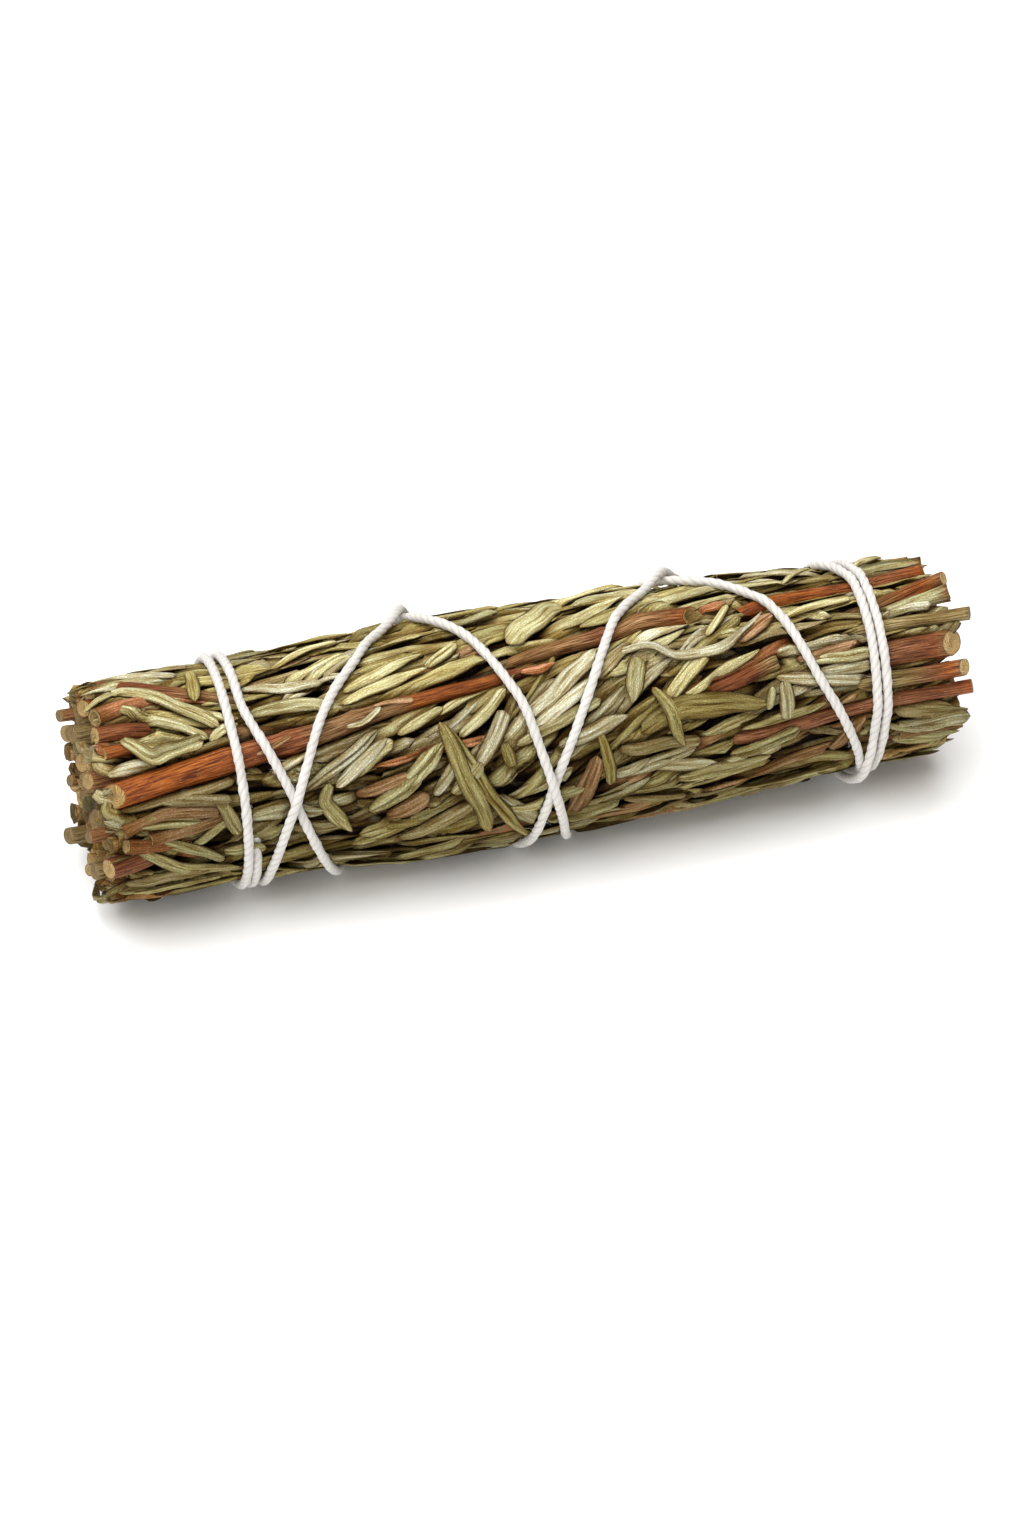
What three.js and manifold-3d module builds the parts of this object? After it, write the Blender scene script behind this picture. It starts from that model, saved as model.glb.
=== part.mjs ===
// A sage smudge stick: dried sage sprigs laid side by side and tied with one cotton string.
// Millimetres, +Z up. The stick lies along X and rests on z = 0, its thick end at -X.
import * as THREE from "three";
import { mergeVertices } from "three/addons/utils/BufferGeometryUtils.js";
import Module from "manifold-3d";

const wasm = await Module();
wasm.setup();

// Overall size
const AXIS_HEIGHT = 19.3; // the middle line of the bundle above the surface it lies on
const CORE_LEFT = -70.5; // where the packed foliage ends, with loose leaf and stem ends beyond
const CORE_RIGHT = 67;
const MEAN_RADIUS = 18.5; // one length for turning millimetres round the bundle into degrees
const GAP = 0.3; // clearance between neighbouring pieces
const SLIVER = 0.12; // finer steps than this left by cutting are smoothed away

// Radius of the leafy surface at stations along X
const PROFILE = [
  [-80, 18.4], [-66, 18.7], [-50, 18.4], [-36, 18.6], [-24, 19.4], [-13, 19.7], [0, 19.5],
  [12, 19.2], [22, 18.9], [33, 18.7], [43, 18.1], [52, 17.5], [58, 17.0], [68, 16.5], [80, 16.0],
];

// The sprigs round the outside: each fills one slice of the bundle and leans a little round it
const SPRIGS = 9;
const SPRIG_START = 20; // degrees from the top, middle of the first sprig at x = 0
const SPRIG_STEP = 360 / SPRIGS;
const LEAN = 24; // degrees that a sprig has moved round at either end
const LEAN_LENGTH = 54;
const CORE_DEPTH = 2.2; // how far the packed foliage lies below the leaf tops
const INNER_RADIUS = 10; // the slices end here, round the inner bunch
const OUTER_LIMIT = 27;
const SAME_POINT = 0.001; // corners this close together are one corner
const WELD = 0.05; // thickness of the weld where two edges of a piece only touch
const WELD_ROUNDS = 4;
const STATIONS = [CORE_LEFT, -48, -24, 0, 24, 48, CORE_RIGHT];

// Leaves laid in lanes along each slice
const LANES = 3;
const LEAF_WIDTH = 3.0;
const LEAF_LENGTH = 27;
const LEAF_THICKNESS = 1.2;
const LANE_HEIGHTS = [-2.7, -1.8, -1.5, -1.1]; // a lane leaf rises slowly from root to tip
const LANE_OVERLAP = 0.02; // share of a leaf that lies under the next one
const LEFT_LIMIT = -76;
const RIGHT_LIMIT = 75;
const CLIMB = 12;

// Leaves that reach out past the packed foliage at both ends
const END_LEAVES = 2;
const END_LEAF_WIDTH = 2.6;
const END_LEAF_ROOTS = { left: -60, right: 57 };
const END_LEAF_TIPS = { left: -74, right: 71 };
const END_LEAF_DEPTH = -1.2;
const INNER_LEAF_WIDTH = 5.4;

// String
const STRING_RADIUS = 0.7;
const STRING_LIFT = 0.3; // how far the middle of the string lies above the leaf tops
const STRING_STEP = 7;
const STRING_SIDES = 5;
const STRING_LOWEST = 1.1; // middle of the string where it runs under the stick
const CROSSING = 1.6; // lift of a strand where it passes over another

const LEAF_MATERIAL = { color: 0x7f7350, roughness: 0.85, metalness: 0 };
const GREY_LEAF_MATERIAL = { color: 0x8f8a6a, roughness: 0.88, metalness: 0 };
const INNER_LEAF_MATERIAL = { color: 0x62592f, roughness: 0.9, metalness: 0 };
const STEM_MATERIAL = { color: 0x9a5b2c, roughness: 0.7, metalness: 0 };
const GREY_STEM_MATERIAL = { color: 0x8c7d5c, roughness: 0.8, metalness: 0 };
const STRING_MATERIAL = { color: 0xe6e0d8, roughness: 0.9, metalness: 0 };

// Stems near the surface, from one cut end to the other:
// x, degrees from the top, radius, how far the bark stands proud of the leaf tops.
const BRANCHES = {
  branch_01: [
    [-70.6, 56, 2.1, 0.5], [-50, 46, 2.1, -0.3], [-38, 41, 1.9, -0.3], [-24, 34, 1.4, -0.1],
    [-10, 30, 1.1, -0.3], [2, 24, 0.85, -1.6],
  ],
  branch_02: [
    [-6, 20, 0.9, -1.9], [3, 17, 1.2, 0], [14.7, 12, 1.45, 0.1], [20, 7, 1.6, 0.4], [28.7, 8, 1.6, 0.6],
  ],
  branch_03: [[50, 21, 1.0, -2.6], [60, 16, 1.1, -0.6], [68, 8, 1.15, 0], [73.4, 1, 1.15, 0.1]],
  branch_04: [[47, 50, 1.7, -3.2], [56, 49, 2.0, -0.8], [65, 48, 2.1, 0], [71.5, 48, 2.1, 0.2]],
  branch_05: [[44, 64, 1.2, -3.4], [56, 64.5, 1.5, -0.8], [66, 65, 1.45, -0.2], [73, 65, 1.4, -0.2]],
  branch_06: [[24, 56, 1.0, -3], [32, 51, 1.2, -0.2], [36.5, 47, 1.2, 0.1], [41, 43, 1.1, -0.3]],
  branch_07: [[-72, -5, 1.45, -0.9], [-63, -9, 1.4, -2.6], [-52, -12, 1.2, -3]],
  branch_08: [[-71.6, 20, 1.4, -0.4], [-66, 21, 1.4, -0.4], [-60, 21, 1.3, -2.2], [-48, 20, 1.2, -3.4]],
  branch_09: [[-71, 32, 1.1, -0.4], [-67, 31.5, 1.1, -0.6], [-58, 30, 1.0, -2.6], [-50, 29, 0.9, -3.4]],
  branch_10: [[-72.4, 102, 1.7, -0.6], [-67, 97, 1.7, -0.6], [-60, 94, 1.5, -2.6], [-50, 92, 1.3, -3.6]],
  branch_11: [[-71.5, 141, 1.0, -0.4], [-66, 140, 1.0, -1], [-56, 137, 0.9, -3]],
  branch_12: [
    [-69, -18, 1.0, 0], [-63, -8, 1.0, 0.1], [-57, 2, 1.0, 0], [-49.5, 11, 0.9, -0.6], [-44, 15, 0.8, -2.4],
  ],
  branch_13: [
    [-72, 240, 1.8, 0], [-58, 234, 1.7, 0], [-44, 228, 1.5, -0.5], [-26, 220, 1.2, -0.3],
    [-14, 216, 1.0, -1.4],
  ],
  branch_14: [
    [2, 292, 0.9, -1.4], [18, 288, 1.2, 0], [34, 282, 1.5, 0], [50, 272, 1.7, -0.3], [73, 262, 1.8, 0],
  ],
  branch_15: [
    [-36, 282, 0.9, -1.4], [-22, 276, 1.2, 0.1], [-8, 270, 1.3, -0.4], [8, 262, 1.2, 0], [18, 257, 1.0, -1.2],
  ],
};
const GREY_BRANCHES = ["branch_03", "branch_06", "branch_11"];

// The main stems of the outer sprigs run below the leaves. These show near the right end.
const STEM_DEPTH_RADIUS = 12;
const SHOWING_STEMS = {
  1: [[30, 11, 1.2, -3.5], [37, 8, 1.25, -1.2], [43, 5, 1.3, 0], [57, -2, 1.3, -0.5], [71, -10, 1.3, 0.2]],
  2: [[42, 39, 1.0, -4.4], [53, 33, 1.05, -1.8], [60, 31, 1.1, -0.4], [75.5, 31, 1.1, -0.1]],
  3: [[24, 89, 1.1, -4], [31, 84, 1.15, -1.5], [38, 82, 1.2, 0], [55, 78, 1.2, -0.5], [74, 78, 1.2, 0]],
};

// Leaves that stand out: x and degrees of the root, then of the tip, width, bend sideways, lift of the tip
const MARKED_LEAVES = [
  [-55, 14, -52, -32, 2.1, 0.6, 0.7], [-68, 27, -55, 35, 2.4, 0.5, 0.4], [-68, -2, -53, 27, 2.2, -0.8, 0.3],
  [-68, 87, -52, 110, 2.4, -0.6, 0.2], [-47, 76, -37, 80, 3.0, 0, 0], [-47, 7, -34, 14, 2.2, 0.5, 0.1],
  [-35, 70, -26, 49, 2.4, 0.6, 0.2], [-36, 67, -33, 95, 2.3, -1.6, 0.4], [-30, 86, -21, 69, 2.8, 0.4, 0],
  [-3, 9, 8, -18, 3.8, -0.8, 0.2], [-25, 75, -17, 57, 3.0, 0, 0.1], [-3, 51, 11, 23, 2.8, 0.6, 0.3],
  [-16, 48, -4, 120, 2.2, 1.2, 0.5], [-17, 45, -10, 106, 2.9, -1.8, 0.7], [4, 110, 8, 76, 3.2, 0, 0.2],
  [9, 64, 11, 92, 2.0, 0.5, 0.5], [18, 29, 15, 52, 3.0, -0.6, 0.2], [14, 25, 39, 16, 2.0, -1.4, 0.3],
  [19, 44, 24, 78, 2.7, -0.8, 0.5], [16, 68, 38, 63, 3.9, 1.2, 0.2], [41, 54, 41.5, 74, 2.6, 0, 0.3],
  [40, 50, 55, 58, 2.3, 0.4, 0], [60, 86, 73, 92, 2.4, 0, 0.3], [46, -7, 52, -19, 1.6, 0, 0.6],
  [60, -20, 67, -32, 1.8, 0, 0.7], [-30, 310, -16, 290, 2.8, 0.8, 0.4], [0, 225, 12, 246, 2.6, 0.6, 0.4],
  [30, 250, 44, 236, 2.6, 0.6, 0.3], [28, 325, 42, 310, 2.8, 0.6, 0.3],
];

// Four low leaves, trimmed level, carry the stick: x and degrees of the middle
const FEET = [[-20, 168], [-20, 192], [17, 168], [17, 192]];
const FOOT_LENGTH = 12;
const FOOT_WIDTH = 3.6;
const FOOT_THICKNESS = 3.6;
const FOOT_HEIGHTS = [-2.4, -0.7, -0.7, -2.4];

// The string's route over the bundle: x, degrees from the top (counting on through every turn), lift
const STRING_ROUTE = [
  [-48.9, 70, -3.0], [-48.7, 84, -2.2], [-48.5, 100, -1.1], [-48.4, 116, -0.3], [-48.4, 139, 0],
  [-48.6, 180, 0], [-49.2, 228, 0],
  [-50.2, 290, 0], [-50.1, 323, 0], [-50.3, 379, 0], [-50.1, 420, 0], [-50.0, 460, 0], [-50.0, 499, 0],
  [-50.1, 540, 0], [-49.9, 568, 1.2], [-49.2, 588, CROSSING], [-48.4, 610, 1.0], [-47.9, 640, 0],
  [-47.9, 683, 0], [-47.8, 720, 0], [-47.7, 741, 0], [-45.9, 760, 0], [-43.1, 783, 0], [-41.9, 794, 0],
  [-39.8, 813, 0], [-34.3, 861, 0], [-26.5, 930, 0], [-19.9, 1005, 0], [-17.0, 1035, 0], [-14.0, 1058, 0],
  [-11.3, 1071, 0], [-8.6, 1085, 0], [-4.8, 1111, 0], [-2.9, 1125, 0], [-1.2, 1148, 0.3],
  [0.5, 1169, CROSSING], [2.4, 1190, 0.3], [4.8, 1220, 0], [11.5, 1285, 0], [19.2, 1350, 0], [22.0, 1372, 0],
  [25.4, 1395, 0], [29.8, 1413, 0], [34.9, 1427, 0], [38.7, 1439, 0], [42.6, 1456, 0], [46.8, 1493, 0],
  [49.7, 1513, 0], [53, 1539, 0], [55.2, 1565, 0],
  [56.0, 1582, 0], [55.8, 1620, 0], [55.4, 1650, 0], [54.6, 1690, 0], [54.4, 1730, 0], [54.6, 1762, 0],
  [56.4, 1782, 0], [57.5, 1801, 0], [57.4, 1830, 0], [57.0, 1854, 0], [56.7, 1875, 0], [56.1, 1894, 0.2],
  [55.4, 1914, 1.2], [55.0, 1926, CROSSING], [54.3, 1940, 1.0], [53.8, 1962, 0], [53.8, 2000, 0],
  [54.0, 2034, 0.8], [54.6, 2052, CROSSING], [56.2, 2078, 0.8], [57.6, 2105, 0], [58.8, 2139, 0],
  [59.3, 2162, 0], [59.1, 2189, 0], [58.8, 2212, 0], [58.5, 2235, 0], [57.9, 2257, 0], [57.6, 2280, 0],
  [57.8, 2299, 0], [57.8, 2335, 0], [57.2, 2353, 0.9], [55.5, 2367, CROSSING], [53.8, 2376, CROSSING],
  [51.5, 2386, 0.9], [48.5, 2399, 0], [41, 2430, 0], [33.4, 2464, 0], [30.4, 2476, 0.8],
  [27.9, 2487, CROSSING], [25.2, 2497, 0.8], [22.3, 2506, 0], [17.6, 2520, 0], [13.1, 2539, 0],
  [8.7, 2561, 0], [5.4, 2578, 0], [1.7, 2599, 0], [-0.5, 2618, 0], [-1.6, 2636, 0], [-2.6, 2660, 0],
  [-6.2, 2720, 0], [-10.8, 2790, 0], [-13.7, 2820, 0.5], [-16.3, 2840, CROSSING], [-19.0, 2855, 0.6],
  [-21.9, 2865, 0], [-24.9, 2874, 0], [-28, 2886, 0],
  [-32.6, 2901, 0], [-36.3, 2917, 0], [-39.3, 2935, 0.5], [-41.9, 2951, CROSSING], [-43.8, 2967, 0.5],
  [-45.4, 2987, 0], [-46.3, 3009, 0], [-46.4, 3050, 0], [-46.6, 3080, 0.2], [-47.4, 3098, 1.2],
  [-48.4, 3108, 2],
];
// The knot, guessed, on the far side, with two short ends
const KNOT_PLACE = [-48.9, 228];
const KNOT_SIZE = 0.62;
const KNOT_LIFT = 1.5;
const KNOT_DEPTH = 1.1; // how deep the knot is against its size
const KNOT_STEPS = 16;
const KNOT_OVERLAP = 0.05; // one half of the knot is this much fatter, so that the halves join cleanly
const KNOT_STRETCH = 3; // last steps of the string, which run into the knot
const KNOT_ENDS = [
  [[-48.9, 228, 2.2], [-46.6, 234, 1.2], [-44.4, 241, 0.2], [-42.6, 243, 0]],
  [[-48.9, 228, 2.2], [-51.2, 233, 1.3], [-53.4, 237, 0.2], [-55, 242, 0]],
];

// The inner bunch: one straight stem in the middle and six round it
const INNER_BUNCH_RADIUS = 9.6;
const INNER_RING_RADIUS = 5.6;
const INNER_STEM_RADII = [1.9, 1.7, 1.5, 1.9, 1.6, 1.4, 1.8];
const INNER_STEM_LEFT = -73;
const INNER_STEM_RIGHT = 72;

const DEGREE = Math.PI / 180;

// A repeatable random number, the same in every run
function makeRandom(seed) {
  let state = seed >>> 0;
  return () => {
    state = (state + 0x6d2b79f5) >>> 0;
    let t = state;
    t = Math.imul(t ^ (t >>> 15), t | 1);
    t ^= t + Math.imul(t ^ (t >>> 7), t | 61);
    return ((t ^ (t >>> 14)) >>> 0) / 4294967296;
  };
}

function interpolate(table, x, column) {
  if (x <= table[0][0]) return table[0][column];
  for (let i = 1; i < table.length; i++) {
    if (x <= table[i][0]) {
      const share = (x - table[i - 1][0]) / (table[i][0] - table[i - 1][0]);
      return table[i - 1][column] * (1 - share) + table[i][column] * share;
    }
  }
  return table[table.length - 1][column];
}

const surfaceRadius = (x) => interpolate(PROFILE, x, 1);

function place(x, degrees, radius) {
  const angle = degrees * DEGREE;
  return new THREE.Vector3(x, -radius * Math.sin(angle), AXIS_HEIGHT + radius * Math.cos(angle));
}

const sprigMiddle = (sprig, x) => SPRIG_START + SPRIG_STEP * sprig - LEAN * Math.sin(x / LEAN_LENGTH);

// A closed solid through rings of points; a ring of one point is a pointed end
function loft(rings) {
  const positions = [];
  const starts = rings.map((ring) => {
    const start = positions.length / 3;
    ring.forEach((point) => positions.push(point.x, point.y, point.z));
    return start;
  });
  const faces = [];
  for (let i = 0; i + 1 < rings.length; i++) {
    const sides = Math.max(rings[i].length, rings[i + 1].length);
    for (let j = 0; j < sides; j++) {
      const next = (j + 1) % sides;
      const a = starts[i] + (rings[i].length > 1 ? j : 0);
      const b = starts[i] + (rings[i].length > 1 ? next : 0);
      const c = starts[i + 1] + (rings[i + 1].length > 1 ? j : 0);
      const d = starts[i + 1] + (rings[i + 1].length > 1 ? next : 0);
      if (a !== b) faces.push([a, b, d]);
      if (c !== d) faces.push([a, d, c]);
    }
  }
  closeEnd(rings[0], starts[0], faces, true);
  closeEnd(rings[rings.length - 1], starts[rings.length - 1], faces, false);
  return solidFrom(positions, faces);
}

// End face of a loft, cut into triangles in its own plane
function closeEnd(ring, start, faces, first) {
  if (ring.length === 1) return;
  const normal = new THREE.Vector3();
  ring.forEach((point, i) => normal.add(point.clone().cross(ring[(i + 1) % ring.length])));
  normal.normalize();
  const right = ring[1].clone().sub(ring[0]).normalize();
  const up = normal.clone().cross(right);
  const outline = ring.map((point) => new THREE.Vector2(point.dot(right), point.dot(up)));
  THREE.ShapeUtils.triangulateShape(outline, []).forEach((corners) => {
    const [a, b, c] = corners.map((corner) => corner + start);
    const alongOutline = THREE.ShapeUtils.area(corners.map((corner) => outline[corner])) > 0;
    faces.push(alongOutline === first ? [a, c, b] : [a, b, c]);
  });
}

function solidFrom(positions, faces) {
  const point = (i) => new THREE.Vector3(positions[3 * i], positions[3 * i + 1], positions[3 * i + 2]);
  const volume = faces.reduce((sum, [a, b, c]) => sum + point(a).dot(point(b).cross(point(c))), 0);
  const outward = volume > 0 ? faces : faces.map(([a, b, c]) => [a, c, b]);
  const mesh = new wasm.Mesh({
    numProp: 3,
    vertProperties: new Float32Array(positions),
    triVerts: new Uint32Array(outward.flat()),
  });
  return new wasm.Manifold(mesh);
}

// A round bar through points, each with its own radius; grow makes it fatter for cutting clearance
function roundBar(points, radii, sides, grow = 0) {
  const rings = [];
  const heading = points[1].clone().sub(points[0]).normalize();
  let side = Math.abs(heading.z) < 0.7 ? new THREE.Vector3(0, 0, 1) : new THREE.Vector3(0, 1, 0);
  points.forEach((point, i) => {
    const before = points[Math.max(i - 1, 0)];
    const after = points[Math.min(i + 1, points.length - 1)];
    const along = after.clone().sub(before).normalize();
    side = side.clone().addScaledVector(along, -side.dot(along)).normalize();
    const across = along.clone().cross(side);
    const centre = point.clone();
    if (i === 0) centre.addScaledVector(along, -grow);
    if (i === points.length - 1) centre.addScaledVector(along, grow);
    rings.push(Array.from({ length: sides }, (_, k) => {
      const angle = (2 * Math.PI * (k + 0.5)) / sides;
      const reach = (radii[i] + grow) / Math.cos(Math.PI / sides);
      return centre.clone()
        .addScaledVector(side, reach * Math.cos(angle))
        .addScaledVector(across, reach * Math.sin(angle));
    }));
  });
  return loft(rings);
}

// Where a stem given as x, degrees, radius and stand lies
const stemCentre = ([x, degrees, radius, proud]) => place(x, degrees, surfaceRadius(x) - radius + proud);

function stemSolid(stations, sides, grow = 0) {
  return roundBar(stations.map(stemCentre), stations.map((station) => station[2]), sides, grow);
}

// The main stem of an outer sprig, hidden but for its two cut ends
function sprigStations(sprig) {
  const random = makeRandom(500 + sprig);
  const thickLeft = sprig % 2 === 0;
  const station = (x, radius, orbit) => [
    x, sprigMiddle(sprig, x), radius, orbit + radius - surfaceRadius(x),
  ];
  const left = station(-73.5 - 2 * random(), thickLeft ? 1.4 : 1.0, STEM_DEPTH_RADIUS + 1.2);
  const middle = [-50, -8].map((x) => station(x, 1.2, STEM_DEPTH_RADIUS));
  const shown = SHOWING_STEMS[sprig + 1];
  if (shown) return [left, ...middle, ...shown];
  const right = station(71 + 4 * random(), thickLeft ? 1.0 : 1.4, STEM_DEPTH_RADIUS + 0.6);
  const beyond = station(32, 1.15, STEM_DEPTH_RADIUS);
  const nearEnd = station(58, 1.15, STEM_DEPTH_RADIUS - 0.2);
  return [left, ...middle, beyond, nearEnd, right];
}

// A leaf: a thin lens-shaped blade with a pointed root and tip, laid on the bundle.
// heights are its distances above the leaf tops' surface at the four stations along it.
const BLADE_SHARES = [0, 0.25, 0.75, 1];
const BLADE_WIDTHS = [0, 0.95, 0.95, 0];
const POINT_GROW = 1.4; // a grown blade reaches this much farther than its clearance at its points and edges
function blade({ from, to, width, thickness, bend = 0, heights, grow = 0 }) {
  const across = (degrees) => -degrees * DEGREE * MEAN_RADIUS;
  const start = new THREE.Vector2(from[0], across(from[1]));
  const end = new THREE.Vector2(to[0], across(to[1]));
  const along = end.clone().sub(start).normalize();
  const side = new THREE.Vector2(-along.y, along.x);
  const spread = (point, height) =>
    place(point.x, -point.y / (DEGREE * MEAN_RADIUS), surfaceRadius(point.x) + height);
  const rings = BLADE_SHARES.map((share, i) => {
    const bow = bend * 4 * share * (1 - share);
    const middle = start.clone().lerp(end, share).addScaledVector(side, bow);
    if (share === 0) return [spread(middle.addScaledVector(along, -POINT_GROW * grow), heights[i])];
    if (share === 1) return [spread(middle.addScaledVector(along, POINT_GROW * grow), heights[i])];
    const half = (width * BLADE_WIDTHS[i]) / 2 + POINT_GROW * grow;
    const rise = thickness / 2 + grow;
    return [
      spread(middle.clone().addScaledVector(side, half), heights[i]),
      spread(middle, heights[i] + rise),
      spread(middle.clone().addScaledVector(side, -half), heights[i]),
      spread(middle, heights[i] - rise),
    ];
  });
  return loft(rings);
}

// The packed foliage of one sprig, a little uneven on its outer side
function sprigCore(sprig, random) {
  const inner = [-0.52, 0, 0.52];
  const outer = [0.52, 0.18, -0.18, -0.52];
  const left = CORE_LEFT + 2 * random() - 1;
  const right = CORE_RIGHT + 3 * random() - 1.5;
  return loft(STATIONS.map((station) => {
    const x = station === CORE_LEFT ? left : station === CORE_RIGHT ? right : station;
    const middle = sprigMiddle(sprig, x);
    return [
      ...inner.map((share) => place(x, middle + share * SPRIG_STEP, INNER_RADIUS)),
      ...outer.map((share) => place(
        x, middle + share * SPRIG_STEP, surfaceRadius(x) - CORE_DEPTH + 0.3 * (random() - 0.5),
      )),
    ];
  }));
}

// The room of one sprig: its slice of the bundle, with half the gap left free on both sides
function sprigRoom(sprig) {
  const ends = [-84, ...STATIONS.slice(1, -1), 84];
  const edge = (x, side, radius) => {
    const half = SPRIG_STEP / 2 - GAP / 2 / radius / DEGREE;
    return place(x, sprigMiddle(sprig, x) + side * half, radius);
  };
  const near = INNER_RADIUS - 2;
  return loft(ends.map((x) => [
    edge(x, -1, near), edge(x, 1, near), edge(x, 1, OUTER_LIMIT), edge(x, -1, OUTER_LIMIT),
  ]));
}

// Degrees that a leaf climbs beyond its sprig's lean: most on the near side of the middle
function climb(x, degrees) {
  const along = Math.exp(-(((x - 6) / 30) ** 2));
  const fromFront = (((degrees - 58) % 360) + 540) % 360 - 180;
  return CLIMB * along * Math.exp(-((fromFront / 42) ** 2));
}

function laneLeaves(sprig, random) {
  const blades = [];
  for (let lane = 0; lane < LANES; lane++) {
    const share = (lane + 0.5) / LANES - 0.5;
    let x = CORE_LEFT - 2 - LEAF_LENGTH * 0.6 * random();
    while (x < CORE_RIGHT - 3) {
      const length = LEAF_LENGTH * (0.85 + 0.3 * random());
      const fromX = Math.max(x, LEFT_LIMIT);
      const toX = Math.min(x + length, RIGHT_LIMIT);
      const offset = (share + 0.05 * (random() - 0.5)) * SPRIG_STEP;
      const turn = climb((fromX + toX) / 2, sprigMiddle(sprig, x) + offset) + 6 * (random() - 0.5);
      const lift = 0.3 * (random() - 0.5);
      blades.push(blade({
        from: [fromX, sprigMiddle(sprig, fromX) + offset + turn / 2],
        to: [toX, sprigMiddle(sprig, toX) + offset - turn / 2],
        width: LEAF_WIDTH * (0.85 + 0.25 * random()),
        thickness: LEAF_THICKNESS,
        bend: 0.8 * (random() - 0.5),
        heights: LANE_HEIGHTS.map((height, i) => (i === 0 ? height : height + lift)),
      }));
      x += length * (1 - LANE_OVERLAP);
    }
  }
  return blades;
}

function endLeaves(sprig, random) {
  const blades = [];
  [-1, 1].forEach((side) => {
    for (let i = 0; i < END_LEAVES; i++) {
      const rootX = side < 0 ? END_LEAF_ROOTS.left : END_LEAF_ROOTS.right;
      const tipX = side < 0 ? END_LEAF_TIPS.left - 2.5 * random() : END_LEAF_TIPS.right + 5 * random();
      const share = ((i + 0.5) / END_LEAVES - 0.5 + 0.1 * (random() - 0.5)) * 0.9;
      const depth = END_LEAF_DEPTH - 3.4 * random();
      blades.push(blade({
        from: [rootX, sprigMiddle(sprig, rootX) + share * SPRIG_STEP],
        to: [tipX, sprigMiddle(sprig, tipX) + share * SPRIG_STEP],
        width: END_LEAF_WIDTH + 0.8 * random(),
        thickness: LEAF_THICKNESS + 0.2,
        heights: [-3.5, depth, depth, depth],
      }));
    }
  });
  return blades;
}

function footLeaf([x, degrees], grow = 0) {
  return blade({
    from: [x - FOOT_LENGTH / 2, degrees], to: [x + FOOT_LENGTH / 2, degrees],
    width: FOOT_WIDTH, thickness: FOOT_THICKNESS, heights: FOOT_HEIGHTS, grow,
  });
}

function markedLeaf([fromX, fromDegrees, toX, toDegrees, width, bend, lift], grow = 0) {
  return blade({
    from: [fromX, fromDegrees], to: [toX, toDegrees], width, thickness: LEAF_THICKNESS, bend,
    heights: [-2.2, -0.7, -0.3 + lift / 2, lift - 0.2], grow,
  });
}

// The sprig whose slice holds a place on the surface
function sprigAt(x, degrees) {
  const turned = (degrees + LEAN * Math.sin(x / LEAN_LENGTH) - SPRIG_START) / SPRIG_STEP;
  return ((Math.round(turned) % SPRIGS) + SPRIGS) % SPRIGS;
}

function joined(solids) {
  return solids.reduce((whole, solid) => whole.add(solid));
}

function largest(solid) {
  const pieces = solid.decompose();
  return pieces.reduce((best, piece) => (piece.volume() > best.volume() ? piece : best));
}

function geometryOf(solid) {
  const { vertProperties, triVerts } = solid.getMesh();
  const geometry = new THREE.BufferGeometry();
  geometry.setAttribute("position", new THREE.Float32BufferAttribute(vertProperties, 3));
  geometry.setIndex(Array.from(triVerts));
  return geometry;
}

// Edges where a solid only touches itself: four faces meet there, where a closed surface has two
function touchingEdges(solid) {
  const merged = mergeVertices(geometryOf(solid), SAME_POINT);
  const corners = merged.index.array;
  const faceCounts = new Map();
  for (let face = 0; face < corners.length; face += 3) {
    [0, 1, 2].forEach((k) => {
      const pair = [corners[face + k], corners[face + ((k + 1) % 3)]].sort((a, b) => a - b);
      if (pair[0] !== pair[1]) faceCounts.set(pair.join(), (faceCounts.get(pair.join()) ?? 0) + 1);
    });
  }
  const corner = (i) => new THREE.Vector3().fromBufferAttribute(merged.attributes.position, Number(i));
  return [...faceCounts].filter(([, faces]) => faces > 2).map(([pair]) => pair.split(",").map(corner));
}

// The largest body of a cut piece, without the slivers that cutting leaves
const cleaned = (solid) => largest(solid.simplify(SLIVER));

// Foliage is also welded along the edges where one leaf only touches another
function welded(solid) {
  let piece = solid;
  for (let round = 0; round < WELD_ROUNDS; round++) {
    const welds = touchingEdges(piece).map(([a, b]) => roundBar([a, b], [WELD, WELD], 4, WELD));
    if (welds.length === 0) return piece;
    piece = largest(joined([piece, ...welds]));
  }
  return piece;
}

// String: a smooth line through the route, resting on the leaves and on the stems it crosses
function routePoint(route, place01) {
  const last = route.length - 1;
  const i = Math.min(Math.floor(place01), last - 1);
  const t = place01 - i;
  const at = (k) => {
    if (k < 0) return route[0].map((value, axis) => 2 * value - route[1][axis]);
    if (k > last) return route[last].map((value, axis) => 2 * value - route[last - 1][axis]);
    return route[k];
  };
  const [p, q, r, s] = [at(i - 1), at(i), at(i + 1), at(i + 2)];
  return p.map((_, axis) => 0.5 * (
    2 * q[axis] + (r[axis] - p[axis]) * t
    + (2 * p[axis] - 5 * q[axis] + 4 * r[axis] - s[axis]) * t * t
    + (3 * q[axis] - p[axis] - 3 * r[axis] + s[axis]) * t * t * t
  ));
}

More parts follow.
